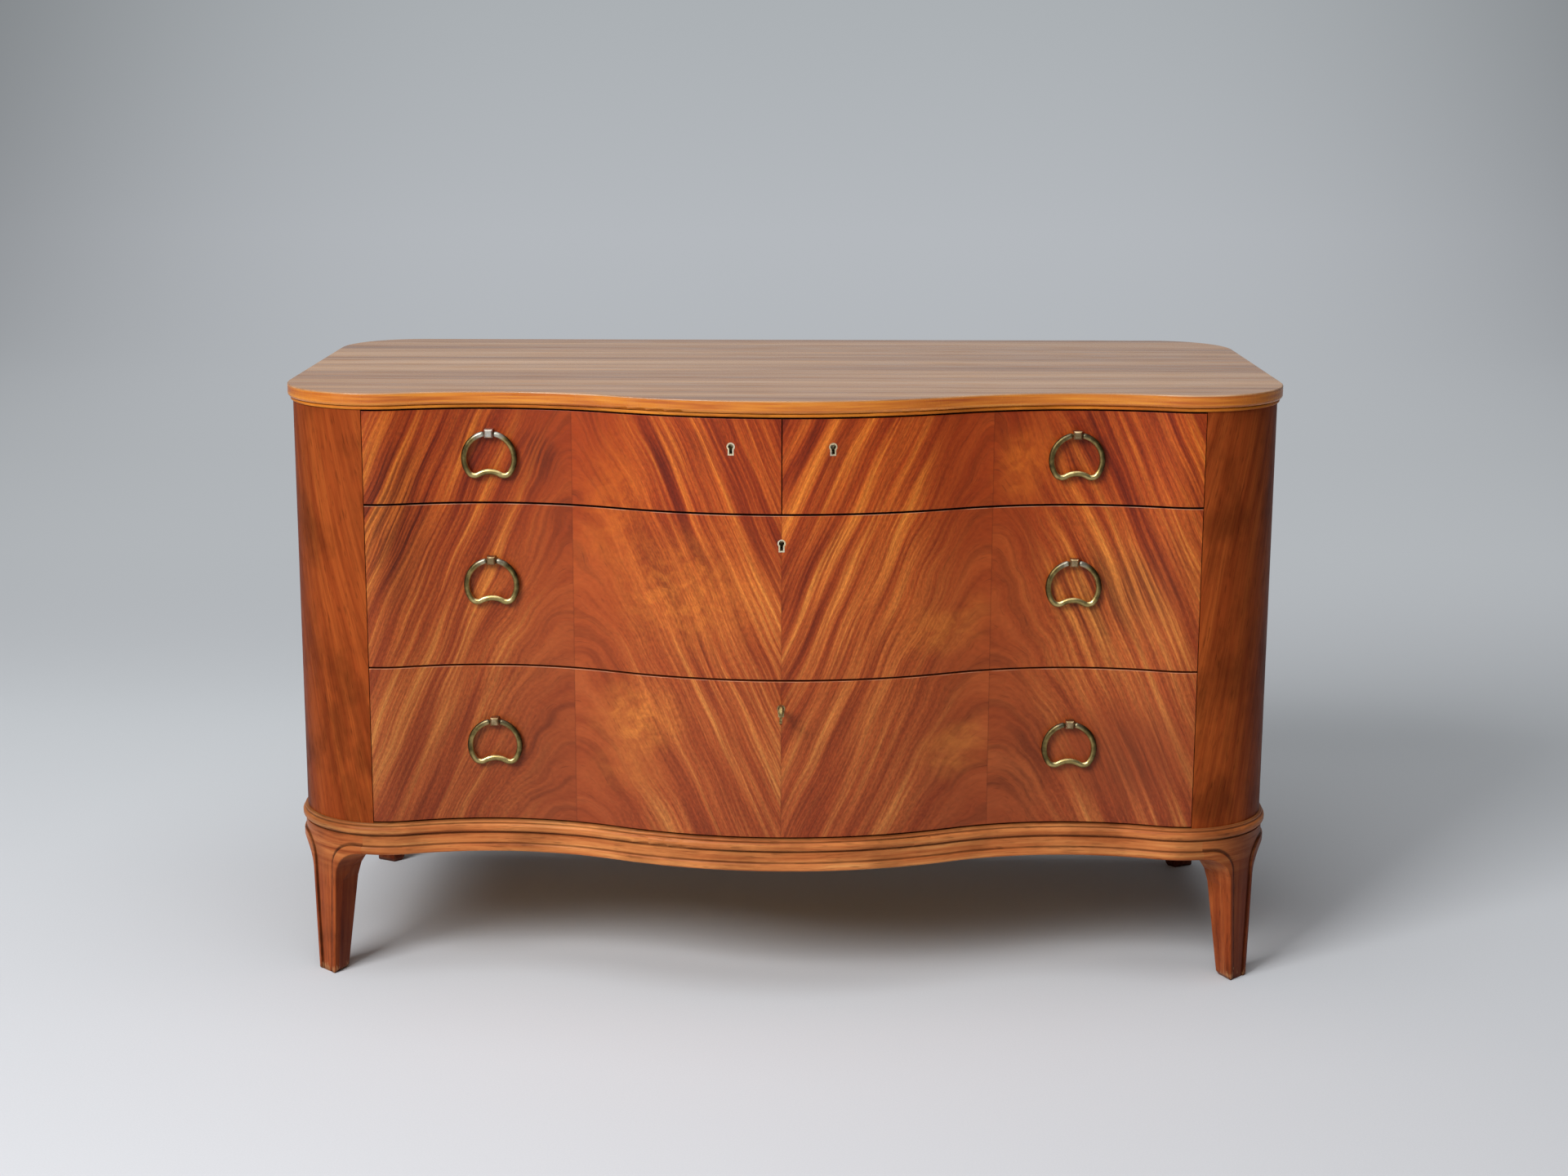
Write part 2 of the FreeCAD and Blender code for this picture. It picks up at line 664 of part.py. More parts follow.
def bolt_plate(drawer, grow=0.0):
    """Plate of a lock's bolt, flush with the top of the lock, or its slot when grown."""
    rear = lock_face(drawer.key_x) + LOCK_DEPTH - LOCK_WALL - BOLT_CLEARANCE
    low = key_z(drawer) + SHANK_RADIUS + BOLT_KEY_CLEARANCE
    half = BOLT_WIDTH / 2
    return block(
        drawer.key_x - half - grow, drawer.key_x + half + grow,
        rear - BOLT_THICKNESS - grow, rear + grow,
        low, drawer.ceiling - LOCK_CLEARANCE,
    )


def lock_bolt(drawer):
    """Bolt that the key lifts by its talon."""
    plate = bolt_plate(drawer)
    face = lock_face(drawer.key_x) + LOCK_WALL + BIT_CLEARANCE
    low = key_z(drawer) + SHANK_RADIUS + BOLT_KEY_CLEARANCE
    half = TALON_WIDTH / 2
    x = drawer.key_x
    talon = block(x - half, x + half, face, plate.BoundBox.YMin, low, low + TALON_HEIGHT)
    return joined(plate, talon)


def bolt_mortise(drawer):
    """Pocket in the rail above that takes the raised bolt."""
    box = bolt_plate(drawer).BoundBox
    room = MORTISE_CLEARANCE
    high = drawer.ceiling - LOCK_CLEARANCE + BOLT_TRAVEL + room
    return block(
        box.XMin - room, box.XMax + room, box.YMin - room, box.YMax + room, drawer.ceiling, high
    )


def lock_case(drawer):
    """Hollow lock with a keyhole, a slot for its bolt and a post that the key turns on."""
    face = lock_face(drawer.key_x)
    case = lock_box(drawer).cut(lock_box(drawer, -LOCK_WALL))
    case = case.cut(keyhole(drawer.key_x, key_z(drawer), face, face + LOCK_WALL, 0.0))
    case = case.cut(bolt_plate(drawer, BOLT_CLEARANCE))
    axis = Vector(drawer.key_x, face + LOCK_WALL, key_z(drawer))
    post = rod(PIVOT_POST_RADIUS, axis, axis + Vector(0, LOCK_DEPTH - LOCK_WALL, 0))
    return joined(case, post)


def keyhole_liner(drawer):
    """Brass keyhole liner let into the front, almost flush."""
    y = front_y(drawer.key_x)
    x = drawer.key_x
    z = key_z(drawer)
    low = y - FRONT
    liner = keyhole(x, z, low, y + LINER_DEPTH, LINER_WALL).cut(keyhole(x, z, low, y + LINER_DEPTH, 0.0))
    return liner.common(slab(LINER_PROUD, z - FRONT, z + FRONT))


def key(drawer):
    """Small pipe key with a flat bit and an oval bow, upright in the lock."""
    face = lock_face(drawer.key_x)
    z = key_z(drawer)
    tip = Vector(drawer.key_x, face + LOCK_DEPTH - LOCK_WALL - BIT_CLEARANCE, z)
    bow_y = front_y(drawer.key_x) - KEY_REACH + KEY_BOW_LENGTH / 2
    neck = Vector(drawer.key_x, bow_y + KEY_BOW_LENGTH / 2 - KEY_BOW_RIM / 2, z)
    shank = rod(SHANK_RADIUS, neck, tip)
    collar = rod(KEY_COLLAR_RADIUS, neck + Vector(0, KEY_BOW_RIM, 0),
                 neck + Vector(0, KEY_BOW_RIM + KEY_COLLAR_LENGTH, 0))
    half = BIT_THICKNESS / 2
    bit_y = face + LOCK_WALL + BIT_CLEARANCE
    bit = block(tip.x - half, tip.x + half, bit_y, bit_y + BIT_LENGTH, z - BIT_RADIUS, z)
    bow = oval_rim(Vector(drawer.key_x, bow_y, z))
    post_end = Vector(drawer.key_x, face + LOCK_WALL - BIT_CLEARANCE, z)
    bore = rod(PIVOT_POST_RADIUS + PIVOT_POST_CLEARANCE, post_end, tip)
    return joined(shank, collar, bit, bow).cut(bore)


def oval_rim(centre):
    """Upright oval ring of the key's bow."""
    solids = []
    for rim in (0.0, KEY_BOW_RIM):
        tall = KEY_BOW_HEIGHT / 2 - rim
        long = KEY_BOW_LENGTH / 2 - rim
        start = centre - Vector(KEY_BOW_THICKNESS / 2, 0, 0)
        curve = Part.Ellipse(start + Vector(0, 0, tall), start + Vector(0, long, 0), start)
        face = Part.Face(Part.Wire(curve.toShape()))
        solids.append(face.extrude(Vector(KEY_BOW_THICKNESS, 0, 0)))
    return solids[0].cut(solids[1])


def pull_axis(drawer, x):
    """Where a pull's ring hangs in its post."""
    return Vector(x, front_y(x) - PIVOT_PROUD, drawer.high - drawer.pull_drop)


def pull_post(drawer, x):
    """Square post with its bolt through the front, and the nut on the bolt."""
    axis = pull_axis(drawer, x)
    face = front_y(x)
    half = LUG / 2
    lug = block(x - half, x + half, face - LUG_LENGTH, face, axis.z - half, axis.z + half)
    nose = [e for e in lug.Edges if all(abs(v.Y - lug.BoundBox.YMin) < LUG / 100 for v in e.Vertexes)]
    lug = lug.makeChamfer(LUG_CHAMFER, nose)
    reach = face + FRONT + NUT_HEIGHT + STEM_RADIUS
    stem = rod(STEM_RADIUS, Vector(x, face, axis.z), Vector(x, reach, axis.z))
    pin_room = Vector(PIN_LENGTH + PIN_END_CLEARANCE, 0, 0)
    for hand in (1, -1):
        mouth = axis + Vector(hand * half, 0, 0)
        lug = lug.cut(rod(PIN_RADIUS + PIN_CLEARANCE, mouth, mouth - pin_room * hand))
    side = NUT / 2
    seat = face + FRONT
    nut = block(x - side, x + side, seat, seat + NUT_HEIGHT, axis.z - side, axis.z + side)
    return joined(lug, stem), nut.cut(stem)


def pull_ring(drawer, x):
    """Waisted ring of round wire: a wide arch, two lobes and a dip between them, with a pin at each end."""
    axis = pull_axis(drawer, x)
    arch = axis - Vector(0, 0, RING_RADIUS)
    lobe_x = (RING_RADIUS - LOBE_RADIUS) * math.cos(math.radians(LOBE_BEARING))
    drop = (RING_RADIUS - LOBE_RADIUS) * math.sin(math.radians(LOBE_BEARING))
    rise = math.sqrt((LOBE_RADIUS + DIP_RADIUS) ** 2 - lobe_x**2)
    dip = arch - Vector(0, 0, drop + rise)
    start_x = LUG / 2 + RING_END_GAP
    edges = []
    ends = []
    for hand in (1, -1):
        lobe = arch + Vector(hand * lobe_x, 0, -drop)
        start = arch + Vector(hand * start_x, 0, math.sqrt(RING_RADIUS**2 - start_x**2))
        shoulder = along(arch, lobe, RING_RADIUS)
        waist = along(lobe, dip, LOBE_RADIUS)
        edges += [arc(arch, start, shoulder), arc(lobe, shoulder, waist)]
        ends.append((start, waist))
    edges.append(arc(dip, ends[0][1], ends[1][1]))
    path = Part.Wire(Part.__sortEdges__(edges))
    start = ends[0][0]
    tangent = Vector(start.z - arch.z, 0, arch.x - start.x)
    section = Part.Wire(Part.Circle(start, tangent, WIRE_RADIUS).toShape())
    ring = path.makePipeShell([section], True, False)
    pins = []
    for hand in (1, -1):
        root = axis + Vector(hand * (start_x + WIRE_RADIUS / 2), 0, 0)
        pins.append(rod(PIN_RADIUS, root, axis + Vector(hand * (LUG / 2 - PIN_LENGTH), 0, 0)))
    return ring.fuse(pins).removeSplitter()


def side_places(drawer):
    """Left and right faces of a drawer's two sides."""
    left, right = drawer.box
    return [(left, left + DRAWER_SIDE), (right - DRAWER_SIDE, right)]


def drawer_bottom(drawer):
    """Plywood bottom in grooves, its front edge cut to the curve of the drawer front."""
    (_, left), (right, _) = side_places(drawer)
    low = drawer.floor + RUNNING_CLEARANCE + BOTTOM_INSET
    plan = slab(GROOVE - FRONT, low, low + DRAWER_BOTTOM)
    rear = BOX_LINE - DRAWER_BACK_INSET
    return plan.common(block(left - GROOVE, right + GROOVE, -PAST, rear, low, low + DRAWER_BOTTOM))


def drawer_back(drawer):
    """Back of the drawer box, housed into the sides and standing on the bottom."""
    (_, left), (right, _) = side_places(drawer)
    low = drawer.floor + RUNNING_CLEARANCE + BOTTOM_INSET + DRAWER_BOTTOM
    high = drawer.ceiling - HEADROOM - DRAWER_BACK_DROP
    rear = BOX_LINE - DRAWER_BACK_INSET
    return block(left - GROOVE, right + GROOVE, rear - DRAWER_BACK, rear, low, high)


def drawer_sides(drawer):
    """Two sides with lapped dovetails that run into the back of the drawer front."""
    low = drawer.floor + RUNNING_CLEARANCE
    high = drawer.ceiling - HEADROOM
    count = int((high - low) / TAIL_PITCH)
    first = (low + high - (count - 1) * TAIL_PITCH) / 2
    sides = []
    for left, right in side_places(drawer):
        board = slab(-FRONT, low, high).common(block(left, right, -PAST, BOX_LINE, low, high))
        tip = front_y((left + right) / 2) + LAP
        root = max(front_y(left, -FRONT), front_y(right, -FRONT))
        tails = [tail(left, right, tip, root, first + i * TAIL_PITCH) for i in range(count)]
        side = joined(board, *tails)
        sides.append(side.cut([drawer_bottom(drawer), drawer_back(drawer)]))
    return sides


def tail(left, right, tip, root, level):
    """One dovetail across a drawer side, wider at its tip."""
    corners = [(tip, TAIL_TIP / 2), (root, TAIL_ROOT / 2), (root, -TAIL_ROOT / 2), (tip, -TAIL_TIP / 2)]
    points = [Vector(left, y, level + z) for y, z in corners]
    return Part.Face(Part.makePolygon(points + points[:1])).extrude(Vector(right - left, 0, 0))


def drawer_front(drawer):
    """Bow, hollow and corner in one veneered front, cut for its joints, lock, keyhole and pulls."""
    board = slab(0, drawer.low, drawer.high).cut(slab(-FRONT, drawer.low, drawer.high))
    board = board.common(
        block(drawer.left, drawer.right, -PAST, POST_LINE, drawer.low, drawer.high)
    )
    face = [
        e for e in board.Edges
        if all(abs(v.Y - front_y(v.X)) < FRONT / 1000 for v in e.Vertexes)
        and len({round(v.Z, 3) for v in e.Vertexes}) == 1
    ]
    board = board.makeFillet(FRONT_ROUND, face)
    x = drawer.key_x
    hole = keyhole(x, key_z(drawer), front_y(x) - FRONT, lock_face(x), 0.0)
    seat = keyhole(x, key_z(drawer), front_y(x) - FRONT, front_y(x) + LINER_DEPTH, LINER_WALL)
    cutters = [hole, seat, lock_box(drawer), drawer_bottom(drawer)] + drawer_sides(drawer)
    for pull_x in drawer.pulls:
        cutters.append(pull_post(drawer, pull_x)[0])
    return board.cut(cutters)


def drawers():
    """The four drawers: two short ones over two full-width ones."""
    edge = JAMB_X - SIDE_GAP
    half_gap = CENTRE_GAP / 2
    inner = DIVIDER / 2 + SIDE_GAP
    gap = ROW_GAP / 2
    floors = [CASE_Z + BOTTOM_BOARD, RAIL_LEVELS[0][1], RAIL_LEVELS[1][1]]
    ceilings = [level[0] for level in RAIL_LEVELS]
    upper = (UPPER_SPLIT + gap, CASE_TOP - EDGE_GAP, floors[2], ceilings[2])
    middle = (LOWER_SPLIT + gap, UPPER_SPLIT - gap, floors[1], ceilings[1])
    lower = (CASE_Z + EDGE_GAP, LOWER_SPLIT - gap, floors[0], ceilings[0])
    both = [-PULL_X, PULL_X]
    wide = (-edge, edge, (-edge, edge))
    left = (-edge, -half_gap, (-edge, -inner))
    right = (half_gap, edge, (inner, edge))
    return [
        Drawer("upper_left", *left, *upper, -UPPER_LOCK_X, both[:1], UPPER_PULL_DROP),
        Drawer("upper_right", *right, *upper, UPPER_LOCK_X, both[1:], UPPER_PULL_DROP),
        Drawer("middle", *wide, *middle, 0.0, both, PULL_DROP),
        Drawer("lower", *wide, *lower, 0.0, both, PULL_DROP),
    ]


def save(name, *pieces):
    """Write one node, with the chest's box centred over the origin."""
    solids = [solid for piece in pieces for solid in piece.Solids]
    shape = solids[0] if len(solids) == 1 else Part.makeCompound(solids)
    shape.translate(Vector(0, -MIDDLE_Y, 0))
    shape.exportStep(f"parts/{name}.step")


def save_case(chest_drawers):
    """Top, posts, panels, rails, runners and guides."""
    mortises = [bolt_mortise(drawer) for drawer in chest_drawers]
    panels = dust_panels()
    save("top_panel", top_panel())
    save("sub_top", sub_top())
    save("right_front_post", front_post())
    save("left_front_post", mirrored(front_post()))
    save("right_side_panel", side_panel())
    save("left_side_panel", mirrored(side_panel()))
    save("rear_posts", rear_post(), mirrored(rear_post()))
    save("back_panel", back_panel())
    save("bottom_board", bottom_board())
    save("top_rail", rail(*RAIL_LEVELS[2], mortises))
    save("drawer_rails", *[rail(*level, mortises + panels) for level in RAIL_LEVELS[:2]])
    save("centre_divider", centre_divider())
    save("dust_panels", *panels)
    save("drawer_runners", *drawer_runners())
    save("drawer_guides", *drawer_guides())


def save_base():
    """Moulded frame, aprons, legs, blocks and screws."""
    front, sides, rear = aprons()
    save("base_frame", *base_frame())
    save("front_apron", front)
    save("side_aprons", *sides)
    save("rear_apron", rear)
    blocks = []
    for name, centre, bearing, radius in CORNERS:
        save(name, at_corner(leg_shape(radius), centre, bearing))
        blocks.append(at_corner(corner_block(radius), centre, bearing))
    save("corner_blocks", *blocks)
    save("base_screws", *base_screws())


def save_drawer(drawer):
    """One drawer with its lock, bolt, pull posts and rings."""
    name = drawer.name
    save(f"{name}_drawer_front", drawer_front(drawer))
    save(f"{name}_drawer_sides", *drawer_sides(drawer))
    save(f"{name}_drawer_back", drawer_back(drawer))
    save(f"{name}_drawer_bottom", drawer_bottom(drawer))
    save(f"{name}_lock", lock_case(drawer), keyhole_liner(drawer))
    save(f"{name}_lock_bolt", lock_bolt(drawer))
    save(f"{name}_pull_posts", *[piece for x in drawer.pulls for piece in pull_post(drawer, x)])
    for x in drawer.pulls:
        hand = "left" if x < 0 else "right"
        ring_name = f"{name}_pull_ring" if len(drawer.pulls) == 1 else f"{name}_{hand}_pull_ring"
        save(ring_name, pull_ring(drawer, x))


def main():
    """Build every piece and write it."""
    os.makedirs("parts", exist_ok=True)
    chest_drawers = drawers()
    save_case(chest_drawers)
    save_base()
    for drawer in chest_drawers:
        save_drawer(drawer)
    save("lower_drawer_key", key(chest_drawers[-1]))


main()
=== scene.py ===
"""Dress the serpentine-front chest of drawers in its veneers, timbers and brasses, in a soft studio."""

import logging
import math
from abc import ABC, abstractmethod
from dataclasses import dataclass, field
from enum import Enum

import bmesh
import bpy
from mathutils import Matrix, Vector


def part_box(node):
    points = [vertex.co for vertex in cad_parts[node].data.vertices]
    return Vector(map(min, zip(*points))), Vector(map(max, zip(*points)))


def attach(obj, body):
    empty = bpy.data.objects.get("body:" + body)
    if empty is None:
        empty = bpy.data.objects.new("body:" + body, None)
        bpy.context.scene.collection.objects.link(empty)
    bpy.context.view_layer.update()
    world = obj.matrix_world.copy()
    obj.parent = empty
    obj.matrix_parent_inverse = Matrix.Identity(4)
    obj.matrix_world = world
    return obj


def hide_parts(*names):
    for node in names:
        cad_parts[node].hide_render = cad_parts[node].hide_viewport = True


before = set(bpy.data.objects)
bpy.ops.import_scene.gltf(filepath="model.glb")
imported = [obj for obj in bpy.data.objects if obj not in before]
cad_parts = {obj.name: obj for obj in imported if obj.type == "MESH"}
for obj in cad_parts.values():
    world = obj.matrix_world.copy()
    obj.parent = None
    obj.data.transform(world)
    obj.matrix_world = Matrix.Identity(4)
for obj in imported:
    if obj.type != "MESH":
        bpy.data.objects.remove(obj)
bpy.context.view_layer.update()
log = logging.getLogger("chest_of_drawers")

MM = 0.001
Socket = bpy.types.NodeSocket
Finish = bpy.types.Material
Link = Socket | float | tuple | Finish
Stops = tuple[tuple[float, str], ...]

FRONT_CORNER = (503.5, -110.5, 112.0)
REAR_CORNER = (510.0, 218.25, 93.5)
EDGE_BAND: Stops = ((0.28, "#9C4814"), (0.42, "#B2601C"), (0.55, "#C47425"), (0.72, "#D48A30"))
MOULDED: Stops = ((0.26, "#8A461F"), (0.42, "#AB6032"), (0.58, "#C07741"), (0.76, "#D69456"))
TURNED: Stops = ((0.26, "#682910"), (0.42, "#803817"), (0.58, "#91461F"), (0.76, "#A3562A"))
KNEE: Stops = ((0.26, "#7E3A18"), (0.42, "#9C5128"), (0.58, "#B06535"), (0.76, "#C67F47"))
BEECH: Stops = ((0.3, "#B58A5C"), (0.5, "#C79E70"), (0.7, "#D4B084"))
# Each quirk's level, reach and depth of shade.
QUIRKS: tuple = ((191.8, 1.7, 0.3), (204.5, 1.3, 0.5), (207.6, 0.8, 0.55))
BEAD_QUIRK: tuple = ((178.0, 1.7, 0.42),)
SUB_TOP_QUIRK: tuple = ((738.8, 0.9, 0.35),)


class Grain(Enum):
    """The direction the fibres of a board run in."""

    ACROSS = 0
    DEEP = 1
    UPRIGHT = 2


def linear(code: str) -> tuple[float, float, float, float]:
    """Turn an sRGB hex colour into linear light.

    Args:
        code: The colour, a hash and six hex digits.

    Returns:
        Linear red, green, blue, and an alpha of one.
    """
    parts = [int(code[i:i + 2], 16) / 255 for i in (1, 3, 5)]
    red, green, blue = [p / 12.92 if p <= 0.04045 else ((p + 0.055) / 1.055) ** 2.4 for p in parts]
    return red, green, blue, 1.0


class Nodes:
    """A node tree, with short ways of adding to it."""

    def __init__(self, tree: bpy.types.NodeTree) -> None:
        """Take a tree in hand.

        Args:
            tree: The tree.
        """
        self.tree = tree

    def feed(self, node: bpy.types.Node, links: dict[int | str, Link]) -> None:
        """Give a node's inputs what they take.

        Args:
            node: The node.
            links: What each input takes, a socket to link or a constant.
        """
        for key, value in links.items():
            if isinstance(value, Socket):
                self.tree.links.new(value, node.inputs[key])
            else:
                node.inputs[key].default_value = value

    def add(self, kind: str, links: dict[int | str, Link] | None = None, out: int | str = 0,
            **settings: object) -> Socket:
        """Add one node with its settings and what feeds it.

        Args:
            kind: The node's type.
            links: What each input takes, a socket to link or a constant.
            out: The output that is wanted from the node.
            settings: Properties of the node itself.

        Returns:
            The wanted output.
        """
        node = self.tree.nodes.new(kind)
        for name, value in settings.items():
            setattr(node, name, value)
        self.feed(node, links or {})
        return node.outputs[out]

    def work(self, operation: str, *values: Link) -> Socket:
        """Do one sum.

        Args:
            operation: The kind of sum.
            values: What goes into it.

        Returns:
            The result.
        """
        return self.add("ShaderNodeMath", dict(enumerate(values)), operation=operation)

    def times(self, first: Link, second: Link) -> Socket:
        """Multiply two values.

        Args:
            first: The first value.
            second: The second value.

        Returns:
            Their product.
        """
        return self.work("MULTIPLY", first, second)

    def vector(self, operation: str, *values: Link, out: int | str = 0) -> Socket:
        """Do one sum on vectors.

        Args:
            operation: The kind of sum.
            values: What goes into it.
            out: The output that is wanted.

        Returns:
            The result.
        """
        return self.add("ShaderNodeVectorMath", dict(enumerate(values)), out=out, operation=operation)

    def scaled(self, vector: Link, level: Link) -> Socket:
        """Scale a vector or a colour.

        Args:
            vector: The vector or colour.
            level: What it is multiplied by.

        Returns:
            The result.
        """
        return self.add("ShaderNodeVectorMath", {0: vector, "Scale": level}, operation="SCALE")

    def join(self, *parts: Link) -> Socket:
        """Join up to three values into a vector.

        Args:
            parts: The values, nought where one is left off.

        Returns:
            The vector.
        """
        return self.add("ShaderNodeCombineXYZ", dict(enumerate(parts)))

    def part(self, vector: Socket) -> list[Socket]:
        """Part a vector into its three values.

        Args:
            vector: The vector.

        Returns:
            The values.
        """
        return self.add("ShaderNodeSeparateXYZ", {0: vector}).node.outputs[:]

    def tones(self, value: Socket, stops: Stops) -> Socket:
        """Read a value off a row of colours.

        Args:
            value: The value.
            stops: The places and hex colours of the row.

        Returns:
            The colour.
        """
        colour = self.add("ShaderNodeValToRGB", {0: value})
        ramp = colour.node.color_ramp.elements
        while len(ramp) < len(stops):
            ramp.new(0.5)
        for element, (place, code) in zip(ramp, stops):
            element.position = place
            element.color = linear(code)
        return colour

    def drawn(self, place: Socket, sizes: tuple[float, ...], detail: float = 2.0, warp: float = 0.0,
              rough: float = 0.5) -> Socket:
        """Draw an even random figure whose marks have a real size along each axis.

        Args:
            place: The point, in millimetres.
            sizes: The length of a mark along each axis, in millimetres.
            detail: How many finer marks lie on the main ones.
            warp: How strongly the marks wander.
            rough: How strong the finer marks are.

        Returns:
            A value about one half.
        """
        scaled = self.vector("MULTIPLY", place, tuple(1 / s for s in sizes))
        return self.add("ShaderNodeTexNoise", {"Vector": scaled, "Scale": 1.0, "Detail": detail,
                                               "Roughness": rough, "Distortion": warp})

    def span(self, value: Socket, ends: tuple[float, float],
             levels: tuple[float, float] = (0.0, 1.0)) -> Socket:
        """Carry a value smoothly from one level to another between two ends.

        Args:
            value: The value.
            ends: Where the change starts and ends.
            levels: The levels there.

        Returns:
            The level.
        """
        return self.add("ShaderNodeMapRange",
                        {"Value": value, 1: ends[0], 2: ends[1], 3: levels[0], 4: levels[1]},
                        interpolation_type="SMOOTHSTEP")

    def shade(self, colour: Link, value: Socket, ends: tuple[float, float],
              depth: tuple[float, float]) -> Socket:
        """Lighten and darken a colour by a figure.

        Args:
            colour: The colour to shade.
            value: The figure.
            ends: The figure's values at which the shading starts and ends.
            depth: The brightness there, one for none.

        Returns:
            The shaded colour.
        """
        return self.scaled(colour, self.span(value, ends, depth))

    def mix(self, share: Socket, first: Link, second: Link) -> Socket:
        """Mix two values.

        Args:
            share: How much of the second value counts.
            first: The first value.
            second: The second value.

        Returns:
            The mixed value.
        """
        return self.add("ShaderNodeMix", {0: share, 2: first, 3: second})

    def blend(self, share: Link, first: Link, second: Link, way: str = "MIX") -> Socket:
        """Mix two colours.

        Args:
            share: How much of the second colour counts.
            first: The first colour.
            second: The second colour.
            way: How they are mixed.

        Returns:
            The mixed colour.
        """
        return self.add("ShaderNodeMix", {0: share, 6: first, 7: second}, out=2, data_type="RGBA",
                        blend_type=way)


class Surface(Nodes):
    """A material in the making."""

    def __init__(self, name: str) -> None:
        """Start a material, and find the place of its points in millimetres.

        Args:
            name: The finish's name.
        """
        self.material = bpy.data.materials.new(name)
        self.material.use_nodes = True
        super().__init__(self.material.node_tree)
        self.shader = self.tree.nodes["Principled BSDF"]
        self.place = self.scaled(self.add("ShaderNodeTexCoord", out="Object"), 1 / MM)

    def polish(self, colour: Socket, gloss: Link, relief: Socket, depth: float, sheen: float = 0.5,
               metal: float = 0.0) -> Finish:
        """Lay what was drawn on the surface.

        Args:
            colour: The colour.
            gloss: The roughness.
            relief: The relief, from nought to one.
            depth: The relief's full depth, in millimetres.
            sheen: How strongly the surface shines.
            metal: One for bare metal.

        Returns:
            The material.
        """
        bump = self.add("ShaderNodeBump", {"Height": relief, "Distance": depth * MM, "Strength": 1.0})
        self.feed(self.shader, {"Base Color": colour, "Roughness": gloss, "Normal": bump,
                                "Specular IOR Level": sheen, "Metallic": metal})
        return self.material


class Recipe(ABC):
    """A finish that can be made."""

    @abstractmethod
    def make(self) -> Finish:
        """Build the finish's node tree.

        Returns:
            The material.
        """


@dataclass(frozen=True)
class Patch:
    """A place on the fronts, in millimetres, where the figure or painted sheen or shade gathers."""

    x: float
    z: float
    width: float
    height: float
    strength: float


